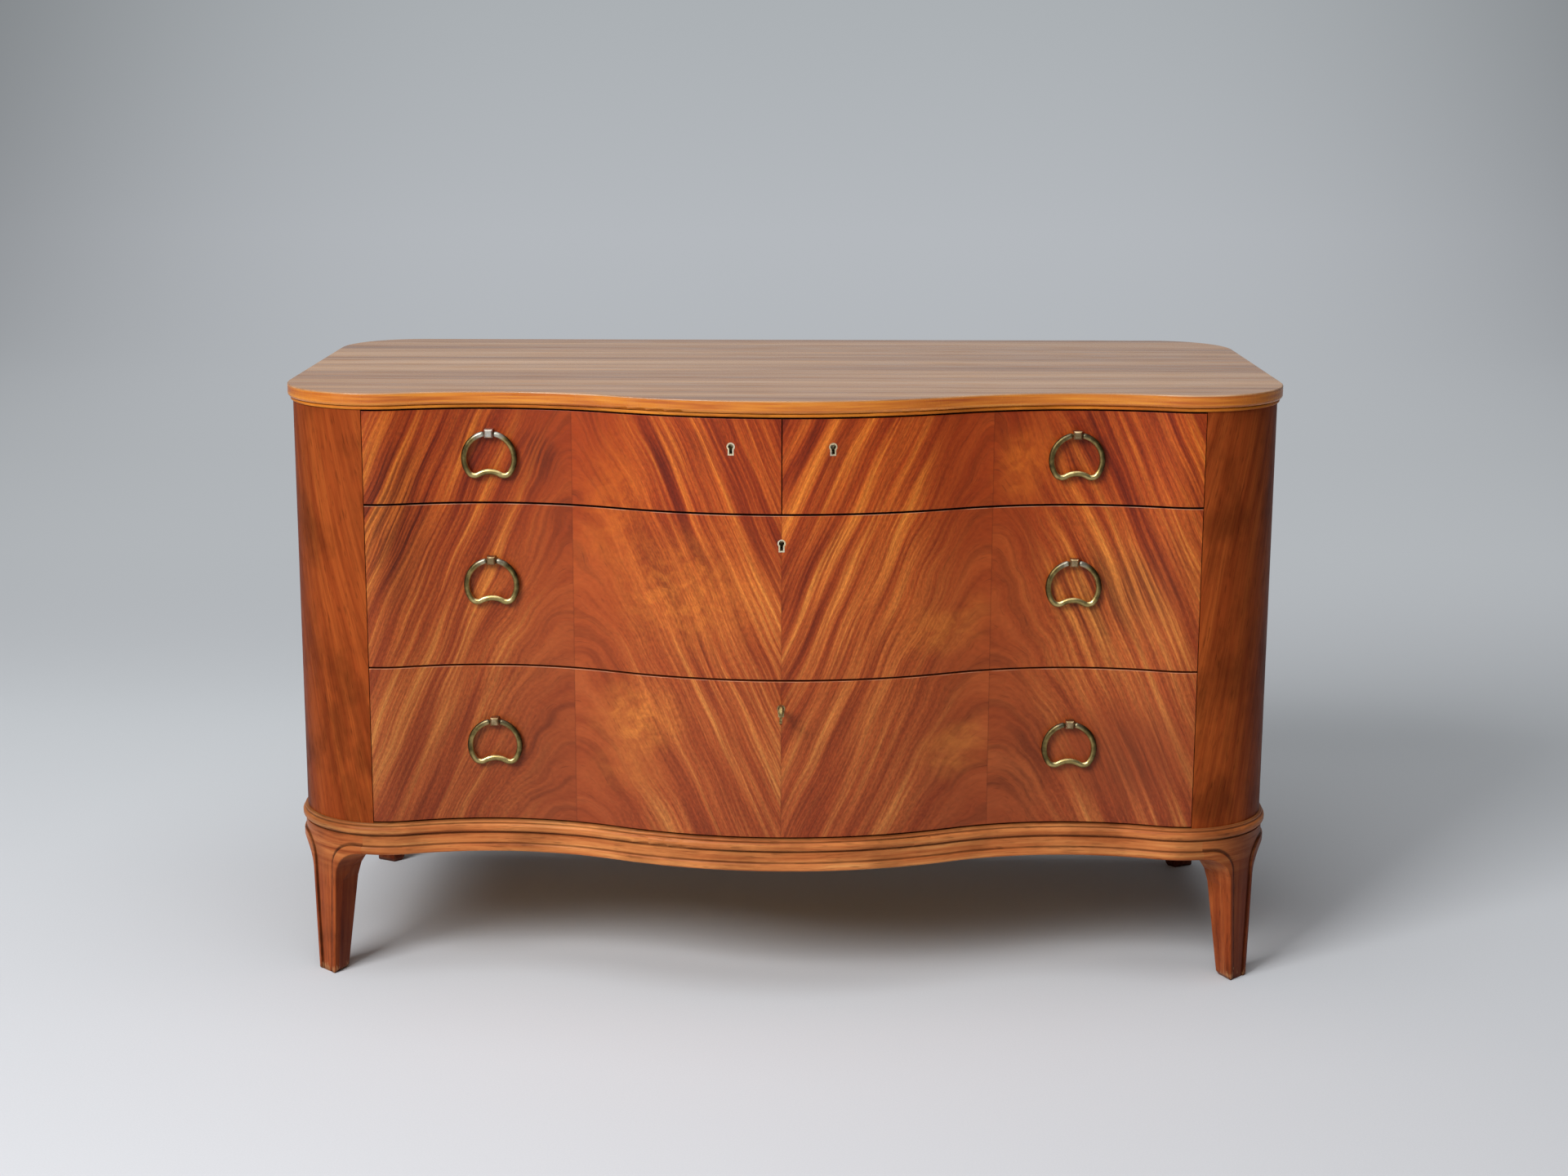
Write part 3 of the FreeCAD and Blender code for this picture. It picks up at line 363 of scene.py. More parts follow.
@dataclass(frozen=True)
class FiguredVeneer(Recipe):
    """Crotch mahogany veneer in four book-matched leaves, French polished.

    Thin polish over saw-cut veneer: the eye sees golden ribbons on red-brown, sweeping up to a plain
    plume at each outer joint and meeting in a V at the middle, under a soft gloss.
    """

    joint: float = 258.0
    slope: float = 2.1
    foot: float = 210.0
    head: float = 735.0
    plume: tuple = (125.0, 18.0)
    ribbon: float = 8.0
    leaf_step: float = 37.0
    roughness: float = 0.38
    sheen: float = 0.22
    ribbons: Stops = ((0.40, "#6A260C"), (0.50, "#823614"), (0.59, "#98491E"), (0.68, "#AD5F2A"),
                      (0.77, "#C47C39"), (0.87, "#D99849"))
    plain: Stops = ((0.3, "#8B3D19"), (0.5, "#9A4A20"), (0.7, "#A95829"))
    leaves: Stops = ((0.0, "#EEEEEE"), (0.25, "#FFFFFF"), (0.5, "#FFFFFF"), (0.75, "#F8F8F8"))
    painted_floor_haze: Stops = ((0.0, "#E6D8E6"), (0.35, "#F5E8EA"), (0.57, "#FFEBDA"), (0.8, "#F3C9A0"),
                      (1.0, "#EFBE90"))
    core: Stops = ((0.3, "#A8794B"), (0.55, "#BF9160"), (0.75, "#CFA674"))
    edge_stains: tuple = ("#7A3A1C", "#2E1208")
    cloud: str = "#D08236"
    arris_wear_and_highlight: str = "#DDAE8C"
    golden: tuple = (Patch(-178, 352, 70, 64, 0.9), Patch(-205, 620, 60, 120, 0.5),
                     Patch(-190, 285, 70, 40, 0.4), Patch(200, 470, 70, 46, 0.5),
                     Patch(214, 312, 62, 45, 0.7), Patch(296, 668, 52, 56, 0.9),
                     Patch(-110, 520, 120, 110, 0.7))
    dusky_and_shaded: tuple = (Patch(-480, 600, 75, 170, 0.85), Patch(-400, 690, 70, 60, 0.4),
                    Patch(372, 690, 34, 70, 0.6), Patch(55, 690, 70, 60, 0.4),
                    Patch(70, 585, 40, 50, 0.4), Patch(500, 620, 40, 120, 0.3),
                    Patch(-300, 675, 50, 70, 0.7), Patch(440, 300, 100, 110, 0.5),
                    Patch(-310, 300, 60, 110, 0.45), Patch(310, 300, 60, 110, 0.6),
                    Patch(395, 500, 90, 120, 0.75), Patch(215, 300, 60, 100, 0.3),
                    Patch(-120, 690, 90, 60, 0.4), Patch(465, 520, 60, 100, 0.55))
    calm: tuple = (Patch(420, 300, 170, 120, 0.9), Patch(-165, 290, 100, 80, 0.5),
                   Patch(450, 500, 110, 110, 0.5), Patch(205, 300, 90, 100, 0.55))
    arrises: tuple = (614.5, 408.6)

    def gathered(self, s: Surface, place: Socket, patches: tuple[Patch, ...]) -> Socket:
        """Mark the places where the figure or painted sheen or shade gathers.

        Args:
            s: The surface.
            place: The point, in millimetres.
            patches: The places.

        Returns:
            How strongly it gathers at the point.
        """
        total: Link = 0.0
        for patch in patches:
            off = s.vector("SUBTRACT", place, (patch.x, 0.0, patch.z))
            scaled = s.vector("MULTIPLY", off, (1 / patch.width, 0.0, 1 / patch.height))
            reach = s.vector("LENGTH", scaled, out="Value")
            total = s.work("ADD", s.span(reach, (0.1, 1.0), (patch.strength, 0.0)), total)
        return total

    def make(self) -> Finish:
        """Build the finish's node tree.

        Returns:
            The material.
        """
        s = Surface("figured_mahogany_veneer_french_polished")
        x, _, z = s.part(s.place)
        side = s.work("ABSOLUTE", x)
        away = s.work("ABSOLUTE", s.work("SUBTRACT", side, self.joint))
        swell = s.add("ShaderNodeMapRange",
                      {"Value": z, 1: self.foot, 2: self.head, 3: self.plume[0], 4: self.plume[1]})
        sweep = s.vector("LENGTH", s.join(away, swell), out="Value")
        ring = s.work("MULTIPLY_ADD", sweep, self.slope, z)
        run = s.work("MULTIPLY_ADD", z, -0.9, s.times(away, 0.43))
        leaf = s.work("FLOOR", s.work("MULTIPLY_ADD", x, 1 / self.joint, 2.0))
        deep = s.times(leaf, self.leaf_step)
        flat = s.join(ring, run, deep)
        slow = s.drawn(flat, (170.0, 130.0, 9.0), detail=1.0)
        bend = s.work("MULTIPLY_ADD", slow, 34.0, ring)
        ripple = s.drawn(flat, (95.0, 58.0, 9.0), detail=1.0)
        near = s.span(away, (25.0, 140.0), (30.0, 3.0))
        bend = s.work("MULTIPLY_ADD", ripple, near, bend)
        grain = s.join(bend, run, deep)

        line = s.drawn(grain, (self.ribbon, 210.0, 9.0), detail=3.0)
        group = s.drawn(grain, (42.0, 300.0, 9.0), detail=1.0)
        golden = s.tones(s.work("MULTIPLY_ADD", group, 0.7, s.times(line, 0.55)), self.ribbons)
        arc = s.drawn(grain, (24.0, 210.0, 9.0), detail=4.0, rough=0.6)
        strength = s.span(away, (20.0, 120.0), (0.06, 1.0))
        still = self.gathered(s, s.place, self.calm)
        strength = s.times(strength, s.span(still, (0.0, 1.0), (1.0, 0.1)))
        # Round the plume the growth rings show as thin waves.
        wave = s.drawn(grain, (9.0, 150.0, 9.0), detail=1.0)
        ripples = s.mix(strength, s.span(wave, (0.36, 0.5), (0.8, 1.03)), 1.0)
        quiet = s.scaled(s.tones(arc, self.plain), ripples)
        height = s.span(z, (250.0, 560.0), (0.6, 1.0))
        colour = s.blend(s.times(strength, height), quiet, golden)

        # Painted sheen, partly the figure's own gold: golden clouds where the crotch figure gleams in the
        # light.
        ragged = s.drawn(s.place, (45.0, 45.0, 45.0), detail=3.0)
        loose = s.vector("MULTIPLY_ADD", s.join(ragged, 0.0, ragged), (60.0, 0.0, 60.0), s.place)
        loose = s.vector("SUBTRACT", loose, (30.0, 0.0, 30.0))
        curl = s.drawn(grain, (22.0, 14.0, 9.0), detail=3.0, warp=0.5)
        glow = s.times(self.gathered(s, loose, self.golden), s.span(curl, (0.34, 0.68), (0.3, 0.8)))
        colour = s.blend(glow, colour, linear(self.cloud))
        # Painted shade, partly the figure's own darker wood: dark patches where the figure looks dull.
        dusk_and_shade = self.gathered(s, loose, self.dusky_and_shaded)
        dusk_and_shade = s.times(dusk_and_shade, s.span(line, (0.4, 0.62), (1.0, 0.3)))
        colour = s.shade(colour, dusk_and_shade, (0.0, 1.0), (1.0, 0.42))
        streak = s.mix(strength, 0.5, s.drawn(grain, (4.2, 90.0, 9.0)))
        colour = s.shade(colour, streak, (0.25, 0.75), (0.82, 1.18))
        # Cross fire in the ribbons: ripples of a few millimetres, drawn as flecks.
        share = s.span(strength, (0.0, 1.0), (0.35, 1.0))
        fleck = s.mix(share, 0.5, s.drawn(grain, (3.2, 5.0, 9.0)))
        colour = s.shade(colour, fleck, (0.25, 0.75), (0.8, 1.2))
        # A vessel is about 0.2 mm wide and 3 mm long; drawn wider and longer so that it shows.
        pore = s.drawn(grain, (1.9, 20.0, 9.0), detail=1.0)
        colour = s.shade(colour, pore, (0.22, 0.38), (0.74, 1.0))
        # Painted reflection: the fronts are tinted by height, greyer and pinker low down where the pale
        # floor is reflected, redder near the top.
        rise = s.add("ShaderNodeMapRange", {"Value": z, 1: self.foot, 2: self.head})
        colour = s.blend(1.0, colour, s.tones(rise, self.painted_floor_haze), "MULTIPLY")
        # Each leaf's brightness differs a little: partly its own colour, partly painted sheen, as mirrored
        # leaves catch the light differently.
        leaves = s.tones(s.work("MULTIPLY_ADD", leaf, 0.25, 0.1), self.leaves)
        leaves.node.color_ramp.interpolation = "CONSTANT"
        colour = s.blend(1.0, colour, leaves, "MULTIPLY")
        colour = s.shade(colour, s.work("MINIMUM", away, side), (0.2, 1.2), (0.78, 1.0))
        # Painted highlight and wear: a pale broken line on the top arris of the middle and lower fronts.
        broken = s.span(s.drawn(s.place, (26.0, 26.0, 26.0), detail=3.0), (0.36, 0.6), (0.05, 0.35))
        for level in self.arrises:
            gap = s.work("ABSOLUTE", s.work("SUBTRACT", z, level))
            edge = s.times(broken, s.span(gap, (0.3, 0.7), (1.0, 0.0)))
            colour = s.blend(edge, colour, linear(self.arris_wear_and_highlight))

        # The veneer stops at the arris: the edges are stained dark and the inside shows the built-up core.
        _, back, up = s.part(s.add("ShaderNodeTexCoord", out="Normal"))
        wood = s.tones(s.drawn(s.place, (240.0, 5.0, 5.0), detail=3.0), self.core)
        low, high = [linear(code) for code in self.edge_stains]
        dark_colour = s.blend(s.span(z, (480.0, 520.0)), low, high)
        colour = s.blend(s.span(back, (-0.45, -0.35)), colour, wood)
        colour = s.blend(s.span(s.work("ABSOLUTE", up), (0.6, 0.7)), colour, dark_colour)
        gloss = s.span(pore, (0.25, 0.7), (self.roughness + 0.1, self.roughness - 0.03))
        return s.polish(colour, gloss, s.span(pore, (0.27, 0.45)), 0.04, self.sheen)


@dataclass(frozen=True)
class StraightVeneer(Recipe):
    """Straight-grained mahogany veneer, French polished.

    Quarter-cut veneer: quiet stripes with fine dark pores along the grain, under a soft gloss.
    """

    name: str
    grain: Grain
    colours: Stops
    stripe: float = 16.0
    length: float = 560.0
    wave: float = 26.0
    lean: float = 0.0
    roughness: float = 0.34
    edge: Stops = ()
    edge_height: float = 0.0
    grime: float = 1.0
    sheen: float = 0.22
    pores: tuple = (2.2, 17.0)
    pore_depth: float = 0.7
    streaks: float = 0.14
    corner_shade: tuple = (-235.0, -125.0)

    def around(self, s: Surface, x: Socket, y: Socket) -> Socket:
        """Measure along the outside of the case, round its corners, as the veneer was laid.

        Args:
            s: The surface.
            x: The point's distance to the right, in millimetres.
            y: The point's distance to the back, in millimetres.

        Returns:
            The length of the way from the front, in millimetres.
        """
        side = s.work("ABSOLUTE", x)
        way = s.add("ShaderNodeClamp", {0: y, 1: FRONT_CORNER[1], 2: REAR_CORNER[1]})
        for (centre_x, centre_y, radius), hand in ((FRONT_CORNER, -1.0), (REAR_CORNER, 1.0)):
            out = s.work("SUBTRACT", side, centre_x)
            back = s.times(s.work("SUBTRACT", y, centre_y), hand)
            turn = s.work("ARCTAN2", s.work("MAXIMUM", back, 0.01), out)
            way = s.work("MULTIPLY_ADD", turn, hand * radius, way)
        return way

    def make(self) -> Finish:
        """Build the finish's node tree.

        Returns:
            The material.
        """
        s = Surface(self.name)
        x, y, z = s.part(s.place)
        if self.grain is Grain.UPRIGHT:
            across = self.around(s, x, y)
            flat = s.join(s.work("MULTIPLY_ADD", z, self.lean, across), z, s.work("SIGN", x))
        else:
            flat = s.join(y, x)
        slow = s.drawn(flat, (140.0, 330.0, 0.3), detail=1.0)
        grain = s.vector("ADD", flat, s.join(s.times(slow, self.wave)))
        stripe = s.drawn(grain, (self.stripe, self.length, 0.3), detail=4.0, rough=0.6)
        colour = s.tones(stripe, self.colours)
        streak = s.drawn(grain, (self.stripe / 5, self.length / 4, 0.3))
        colour = s.shade(colour, streak, (0.25, 0.75), (1 - self.streaks, 1 + self.streaks))
        # Vessels drawn wider and longer than their 0.2 mm by 3 mm, so that they show.
        pore = s.drawn(grain, (*self.pores, 0.3), detail=1.0)
        colour = s.shade(colour, pore, (0.24, 0.4), (self.pore_depth, 1.0))
        if self.grime < 1.0:
            # Painted shade: the veneer grows darker as it turns round the corners, away from the light; and
            # old polish lies in clouds, most at the foot of the case.
            colour = s.shade(colour, across, self.corner_shade, (1.0, 0.74))
            cloud = s.drawn(s.place, (75.0, 75.0, 110.0), detail=4.0, rough=0.6)
            mark = s.work("SUBTRACT", cloud, s.span(z, (205.0, 420.0), (0.08, 0.0)))
            colour = s.shade(colour, mark, (0.3, 0.56), (self.grime, 1.04))
        if self.edge:
            # The edge band is cut from a brighter flitch, and runs with the edge.
            band = s.drawn(s.place, (130.0, 130.0, 4.0), detail=4.0, rough=0.6)
            low = s.span(z, (self.edge_height - 0.6, self.edge_height + 0.6), (1.0, 0.0))
            colour = s.blend(low, colour, s.tones(band, self.edge))
        gloss = s.span(pore, (0.25, 0.7), (self.roughness + 0.1, self.roughness - 0.03))
        return s.polish(colour, gloss, s.span(pore, (0.27, 0.45)), 0.04, self.sheen)


@dataclass(frozen=True)
class CarvedMahogany(Recipe):
    """Solid mahogany, shaped with plane and spokeshave, stained and polished.

    Long grain with fine pores, old polish and dirt with painted shade dark in the quirks of the
    mouldings, painted shade on faces turned away from the light, and the wood rubbed pale where feet
    and corners are knocked.
    """

    name: str
    colours: Stops
    upper: Stops = ()
    quirks: tuple = ()
    corner: tuple = ()
    facing: float = -1.0
    turn: tuple = (118.0, 172.0)
    foot_half: float = 10.5
    lean: float = 0.0539
    groove_turn: float = 34.0
    groove_level: float = 178.0
    dark_ends: tuple = ()
    shaded_way: tuple = (1.0, 0.0, 0.0)
    dark_colour: str = "#4E1502"
    painted_shade_share: float = 0.55
    bare: str = "#B58558"
    rubbed: float = 0.5
    roughness: float = 0.4
    sheen: float = 0.1

    def groove(self, s: Surface) -> Socket:
        """Find how far a point of a leg lies from the quirk beside its bead.

        Args:
            s: The surface.

        Returns:
            The distance in millimetres, large behind the leg's outer face.
        """
        x, y, z = s.part(s.place)
        centre_x, centre_y, radius = self.corner
        off = s.work("SUBTRACT", s.work("ABSOLUTE", x), centre_x)
        back = s.times(s.work("SUBTRACT", y, centre_y), self.facing)
        across = s.times(s.work("ABSOLUTE", s.work("SUBTRACT", off, back)), math.sqrt(0.5))
        out = s.vector("LENGTH", s.join(off, back), out="Value")
        low = self.groove_level - self.groove_turn
        above = s.work("SUBTRACT", z, low)
        below = s.times(s.work("MINIMUM", above, 0.0), self.lean)
        middle = self.foot_half + low * self.lean + self.groove_turn
        inward = s.work("ADD", s.work("SUBTRACT", middle, across), below)
        inward = s.work("MAXIMUM", inward, 0.0)
        bow = s.vector("LENGTH", s.join(inward, s.work("MAXIMUM", above, 0.0)), out="Value")
        gap = s.work("SUBTRACT", bow, self.groove_turn)
        # Painted shadow reaches further out over the sunk face than up the round of the bead.
        gap = s.work("MAXIMUM", s.times(gap, 0.42), s.times(gap, -1.3))
        return s.work("ADD", gap, s.span(out, (radius - 4.0, radius + 1.0), (20.0, 0.0)))

    def age(self, s: Surface, colour: Socket, z: Socket, broken: Socket) -> Socket:
        """Paint shade in a leg's quirk and on faces turned from the light, and rub its foot.

        Args:
            s: The surface.
            colour: The leg's colour.
            z: The point's height, in millimetres.
            broken: How evenly the quirks are darkened, by dirt and painted shade.

        Returns:
            The aged colour.
        """
        # Painted shadow in the quirk beside the bead.
        dirt_and_shade = s.times(s.span(self.groove(s), (0.6, 2.2), (1.0, 0.0)),
                       s.span(broken, (0.0, 1.0), (0.7, 1.0)))
        colour = s.shade(colour, dirt_and_shade, (0.0, 1.0), (1.0, 0.26))
        # Painted shade: faces turned along the shaded way, from the key lamp or under the case, are blended
        # towards a dark red-brown.
        normal = s.add("ShaderNodeTexCoord", out="Normal")
        turned = s.vector("DOT_PRODUCT", normal, self.shaded_way, out="Value")
        dark = s.span(turned, (0.3, 0.72), (0.0, self.painted_shade_share))
        colour = s.blend(dark, colour, linear(self.dark_colour))
        # Knocks and mop water have taken the polish off the feet.
        rub = s.drawn(s.place, (5.0, 5.0, 16.0), detail=4.0, rough=0.65)
        rub = s.work("ADD", rub, s.span(z, (2.0, 34.0), (0.2, -0.2)))
        colour = s.blend(s.span(rub, (0.64, 0.78), (0.0, self.rubbed)), colour, linear(self.bare))
        # The foot is darker within seven millimetres of the floor.
        return s.shade(colour, z, (0.0, 7.0), (0.62, 1.0))

    def make(self) -> Finish:
        """Build the finish's node tree.

        Returns:
            The material.
        """
        s = Surface(self.name)
        x, _, z = s.part(s.place)
        level = s.drawn(s.place, (150.0, 150.0, 7.0), detail=4.0, rough=0.6)
        upright = s.drawn(s.place, (8.0, 8.0, 260.0), detail=4.0, rough=0.6)
        turn = s.span(z, self.turn)
        stripe = s.mix(turn, upright, level)
        colour = s.tones(stripe, self.colours)
        if self.upper:
            # The knee is cut from the same boards as the aprons beside it.
            colour = s.blend(turn, colour, s.tones(stripe, self.upper))
        # Vessels drawn wider and longer than their 0.2 mm by 3 mm, so that they show.
        flat_pore = s.drawn(s.place, (22.0, 22.0, 1.7), detail=1.0)
        tall_pore = s.drawn(s.place, (2.0, 2.0, 20.0), detail=1.0)
        pore = s.mix(turn, tall_pore, flat_pore)
        colour = s.shade(colour, pore, (0.25, 0.42), (0.66, 1.0))
        cloud = s.drawn(s.place, (90.0, 90.0, 60.0), detail=4.0, rough=0.6)
        colour = s.shade(colour, cloud, (0.34, 0.64), (0.74, 1.08))
        if self.dark_ends:
            colour = s.shade(colour, s.work("ABSOLUTE", x), self.dark_ends, (1.0, 0.82))
        broken = s.span(s.drawn(s.place, (48.0, 48.0, 20.0), detail=3.0), (0.36, 0.62))
        # Dirt and old polish, and painted shade, darken the quirks of the mouldings.
        for quirk, reach, depth in self.quirks:
            near = s.work("ABSOLUTE", s.work("SUBTRACT", z, quirk))
            dirt_and_shade = s.times(s.span(near, (reach * 0.3, reach), (1.0, 0.0)),
                           s.span(broken, (0.0, 1.0), (0.75, 1.0)))
            colour = s.shade(colour, dirt_and_shade, (0.0, 1.0), (1.0, depth))
        if self.corner:
            colour = self.age(s, colour, z, broken)
        gloss = s.span(stripe, (0.3, 0.7), (self.roughness + 0.06, self.roughness - 0.04))
        return s.polish(colour, gloss, s.span(pore, (0.27, 0.45)), 0.05, self.sheen)


@dataclass(frozen=True)
class PlainTimber(Recipe):
    """An unpolished inside timber, planed and left to darken.

    Dry and matt, with the growth rings as bands along the board and shorter marks on its ends.
    """

    name: str
    grain: Grain
    colours: Stops
    band: float = 11.0
    band_length: float = 380.0
    mark: float = 1.4
    mark_length: float = 16.0
    roughness: float = 0.62

    def make(self) -> Finish:
        """Build the finish's node tree.

        Returns:
            The material.
        """
        s = Surface(self.name)
        bands = [self.band] * 3
        bands[self.grain.value] = self.band_length
        colour = s.tones(s.drawn(s.place, tuple(bands), detail=3.0, warp=0.5), self.colours)
        marks = [self.mark] * 3
        marks[self.grain.value] = self.mark_length
        fleck = s.drawn(s.place, tuple(marks), detail=1.0)
        colour = s.shade(colour, fleck, (0.28, 0.5), (0.8, 1.0))
        grime = s.drawn(s.place, (150.0, 150.0, 150.0), detail=4.0)
        colour = s.shade(colour, grime, (0.35, 0.65), (0.82, 1.05))
        return s.polish(colour, self.roughness, fleck, 0.08)


@dataclass(frozen=True)
class AgedMetal(Recipe):
    """A cast or drawn metal that has dulled in use.

    Bare metal under a thin tarnish: dark in the hollows, rubbed through to bright metal in patches
    where hands have been.
    """

    name: str
    bright: str
    dull: str
    deep: str
    patch: float = 16.0
    wear: tuple = (0.4, 0.62)
    pit: float = 2.4
    roughness: float = 0.32

    def make(self) -> Finish:
        """Build the finish's node tree.

        Returns:
            The material.
        """
        s = Surface(self.name)
        blotch = s.drawn(s.place, (self.patch, self.patch, self.patch), detail=3.0)
        colour = s.blend(s.span(blotch, self.wear), linear(self.dull), linear(self.bright))
        spot = s.drawn(s.place, (self.pit, self.pit, self.pit), detail=3.0)
        colour = s.blend(s.span(spot, (0.28, 0.4), (0.4, 0.0)), colour, linear(self.deep))
        gloss = s.span(blotch, (0.35, 0.65), (self.roughness + 0.14, self.roughness - 0.06))
        return s.polish(colour, gloss, spot, 0.015, metal=1.0)


@dataclass(frozen=True)
class HandledBrass(Recipe):
    """Cast brass, browned when new and handled ever since.

    Olive-brown patina round the outside of a ring, rubbed to yellow metal on the bar and inside it where
    fingers hook it, and greyed beside the post. Painted reflection also makes the outside of the wire
    darker and its inside paler.
    """

    tones: Stops = ((0.26, "#3A3220"), (0.48, "#6B5D38"), (0.7, "#A6925C"), (0.95, "#D8C68E"))
    grey: str = "#D2D2C8"
    blotch: float = 8.0
    pit: float = 2.4
    roughness: float = 0.32

    def make(self) -> Finish:
        """Build the finish's node tree.

        Returns:
            The material.
        """
        s = Surface("cast_brass_browned_and_handled")
        # Worn holds wear and painted reflection: paler inside the wire and on the bar, darker outside.
        worn = s.add("ShaderNodeAttribute", out="Fac", attribute_name="worn")
        greyed = s.add("ShaderNodeAttribute", out="Fac", attribute_name="greyed")
        blotch = s.drawn(s.place, (self.blotch, self.blotch, self.blotch), detail=3.0)
        rub = s.work("MULTIPLY_ADD", blotch, 0.6, worn)
        share = s.times(greyed, s.span(blotch, (0.3, 0.6), (0.5, 1.0)))
        colour = s.blend(share, s.tones(rub, self.tones), linear(self.grey))
        gloss = s.span(rub, (0.3, 0.9), (self.roughness + 0.1, self.roughness))
        spot = s.drawn(s.place, (self.pit, self.pit, self.pit), detail=3.0)
        return s.polish(colour, gloss, spot, 0.02, metal=1.0)


def dress(finish: Finish, *names: str) -> None:
    """Put a finish on the construction's own pieces.

    Args:
        finish: The material.
        names: The pieces that take it.
    """
    for name in names:
        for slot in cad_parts[name].material_slots:
            slot.material = finish
        log.info("%s takes %s", name, finish.name)


def made(recipe: Recipe) -> Finish:
    """Have a finish made once for the palette.

    Args:
        recipe: The finish's recipe.

    Returns:
        The palette's field.
    """
    return field(default_factory=recipe.make)


@dataclass
class Palette:
    """Every finish of the chest, made once."""

    fronts: Finish = made(FiguredVeneer())
    posts: Finish = made(StraightVeneer(
        "mahogany_post_veneer_french_polished", Grain.UPRIGHT,
        ((0.2, "#722D0F"), (0.42, "#823815"), (0.6, "#90431A"), (0.8, "#9E5020")),
        stripe=11.0, length=240.0, wave=26.0, lean=-0.2, grime=0.62, roughness=0.42, sheen=0.04))
    top: Finish = made(StraightVeneer(
        "mahogany_top_veneer_french_polished", Grain.ACROSS,
        ((0.3, "#7A5237"), (0.43, "#9B6E4B"), (0.56, "#B1855E"), (0.72, "#C79D78")),
        stripe=48.0, length=1900.0, wave=6.0, roughness=0.24, sheen=0.5, pores=(6.0, 90.0), pore_depth=0.86,
        streaks=0.1, edge=EDGE_BAND, edge_height=753.6))
    edge: Finish = made(CarvedMahogany("mahogany_lipping_polished", EDGE_BAND, quirks=SUB_TOP_QUIRK))
    base: Finish = made(CarvedMahogany(
        "solid_mahogany_moulding_polished", MOULDED, quirks=QUIRKS + BEAD_QUIRK, dark_ends=(460.0, 535.0)))
    front_legs: Finish = made(CarvedMahogany(
        "solid_mahogany_front_leg_polished", TURNED, KNEE, QUIRKS, FRONT_CORNER))
    rear_legs: Finish = made(CarvedMahogany(
        "solid_mahogany_rear_leg_polished", TURNED, KNEE, QUIRKS, REAR_CORNER, 1.0,
        shaded_way=(0.0, -1.0, 0.0), painted_shade_share=0.9, rubbed=0.1))
    beech: Finish = made(PlainTimber("beech_planed", Grain.DEEP, BEECH))
    beech_back: Finish = made(PlainTimber("beech_planed_crosswise", Grain.ACROSS, BEECH))
    pine: Finish = made(PlainTimber(
        "pine_sawn_and_planed", Grain.ACROSS,
        ((0.3, "#A9793F"), (0.5, "#C79B62"), (0.7, "#D8B37E")), band=14.0))
    stained: Finish = made(PlainTimber(
        "pine_planed_and_stained", Grain.ACROSS,
        ((0.3, "#3E1B0B"), (0.5, "#53270F"), (0.7, "#653416")), band=14.0, roughness=0.5))
    ply: Finish = made(PlainTimber(
        "birch_plywood_sanded", Grain.ACROSS,
        ((0.3, "#BE9062"), (0.5, "#CEA476"), (0.7, "#DBB88C")), band=26.0))
    ring: Finish = made(HandledBrass())
    lug: Finish = made(AgedMetal("cast_brass_lug_dulled", "#B39C78", "#8A7452", "#51422E", patch=9.0))
    grey_lug: Finish = made(AgedMetal("cast_brass_lug_greyed", "#E4E2DA", "#BDB6AA", "#7A7064", patch=9.0))
    lock: Finish = made(AgedMetal("cast_brass_lock_dulled", "#FFF3D6", "#EEDDB4", "#A88E5E", patch=14.0))
    browned_lock: Finish = made(AgedMetal(
        "cast_brass_lock_browned", "#C4AB78", "#97815A", "#54462E", patch=14.0))
    key: Finish = made(AgedMetal("cast_brass_key_worn", "#B09A68", "#7C6840", "#40341F", patch=5.0))
    steel: Finish = made(AgedMetal("drawn_steel_dulled", "#9A9890", "#6C6A64", "#3A332B", patch=6.0))


@dataclass
class Carcase:
    """The case above the base: top, posts, sides, back and inside framing."""

    posts: tuple = ("left_front_post", "right_front_post", "left_side_panel", "right_side_panel",
                    "rear_posts")
    rails: tuple = ("top_rail", "drawer_rails", "centre_divider")
    framing: tuple = ("bottom_board", "drawer_runners", "drawer_guides")
    boards: tuple = ("back_panel", "dust_panels")
    screw_inset: float = 16.0
    screw_columns: int = 9
    screw_rows: int = 5

    def dress(self, palette: Palette) -> None:
        """Put the finishes on the case.

        Args:
            palette: The chest's finishes.
        """
        dress(palette.top, "top_panel")
        dress(palette.edge, "sub_top")
        dress(palette.posts, *self.posts)
        dress(palette.stained, *self.rails)
        dress(palette.pine, *self.framing)
        dress(palette.ply, *self.boards)

    def fasten(self, tree: bpy.types.NodeTree) -> None:
        """Screw the back into its rebate, all the way round.

        Args:
            tree: The tree that sets the screw heads.
        """
        low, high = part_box("back_panel")
        inset = self.screw_inset * MM
        left, foot = low[0] + inset, low[2] + inset
        width, height = high[0] - inset - left, high[2] - inset - foot
        places = []
        for column in range(self.screw_columns):
            for row in range(self.screw_rows):
                if column in (0, self.screw_columns - 1) or row in (0, self.screw_rows - 1):
                    x = left + width * column / (self.screw_columns - 1)
                    z = foot + height * row / (self.screw_rows - 1)
                    places.append(Vector((x, high[1], z)))
        Screws().drive(tree, "back_panel_screws", "case", places, Vector((0.0, 1.0, 0.0)))


@dataclass
class Base:
    """The moulded frame the case stands on, its aprons and its four legs."""

    mouldings: tuple = ("base_frame", "front_apron", "side_aprons", "rear_apron")

    def dress(self, palette: Palette) -> None:
        """Put the finishes on the base.

        Args:
            palette: The chest's finishes.
        """
        dress(palette.base, *self.mouldings)
        dress(palette.front_legs, "front_left_leg", "front_right_leg")
        dress(palette.rear_legs, "rear_left_leg", "rear_right_leg")
        dress(palette.pine, "corner_blocks")
        dress(palette.steel, "base_screws")


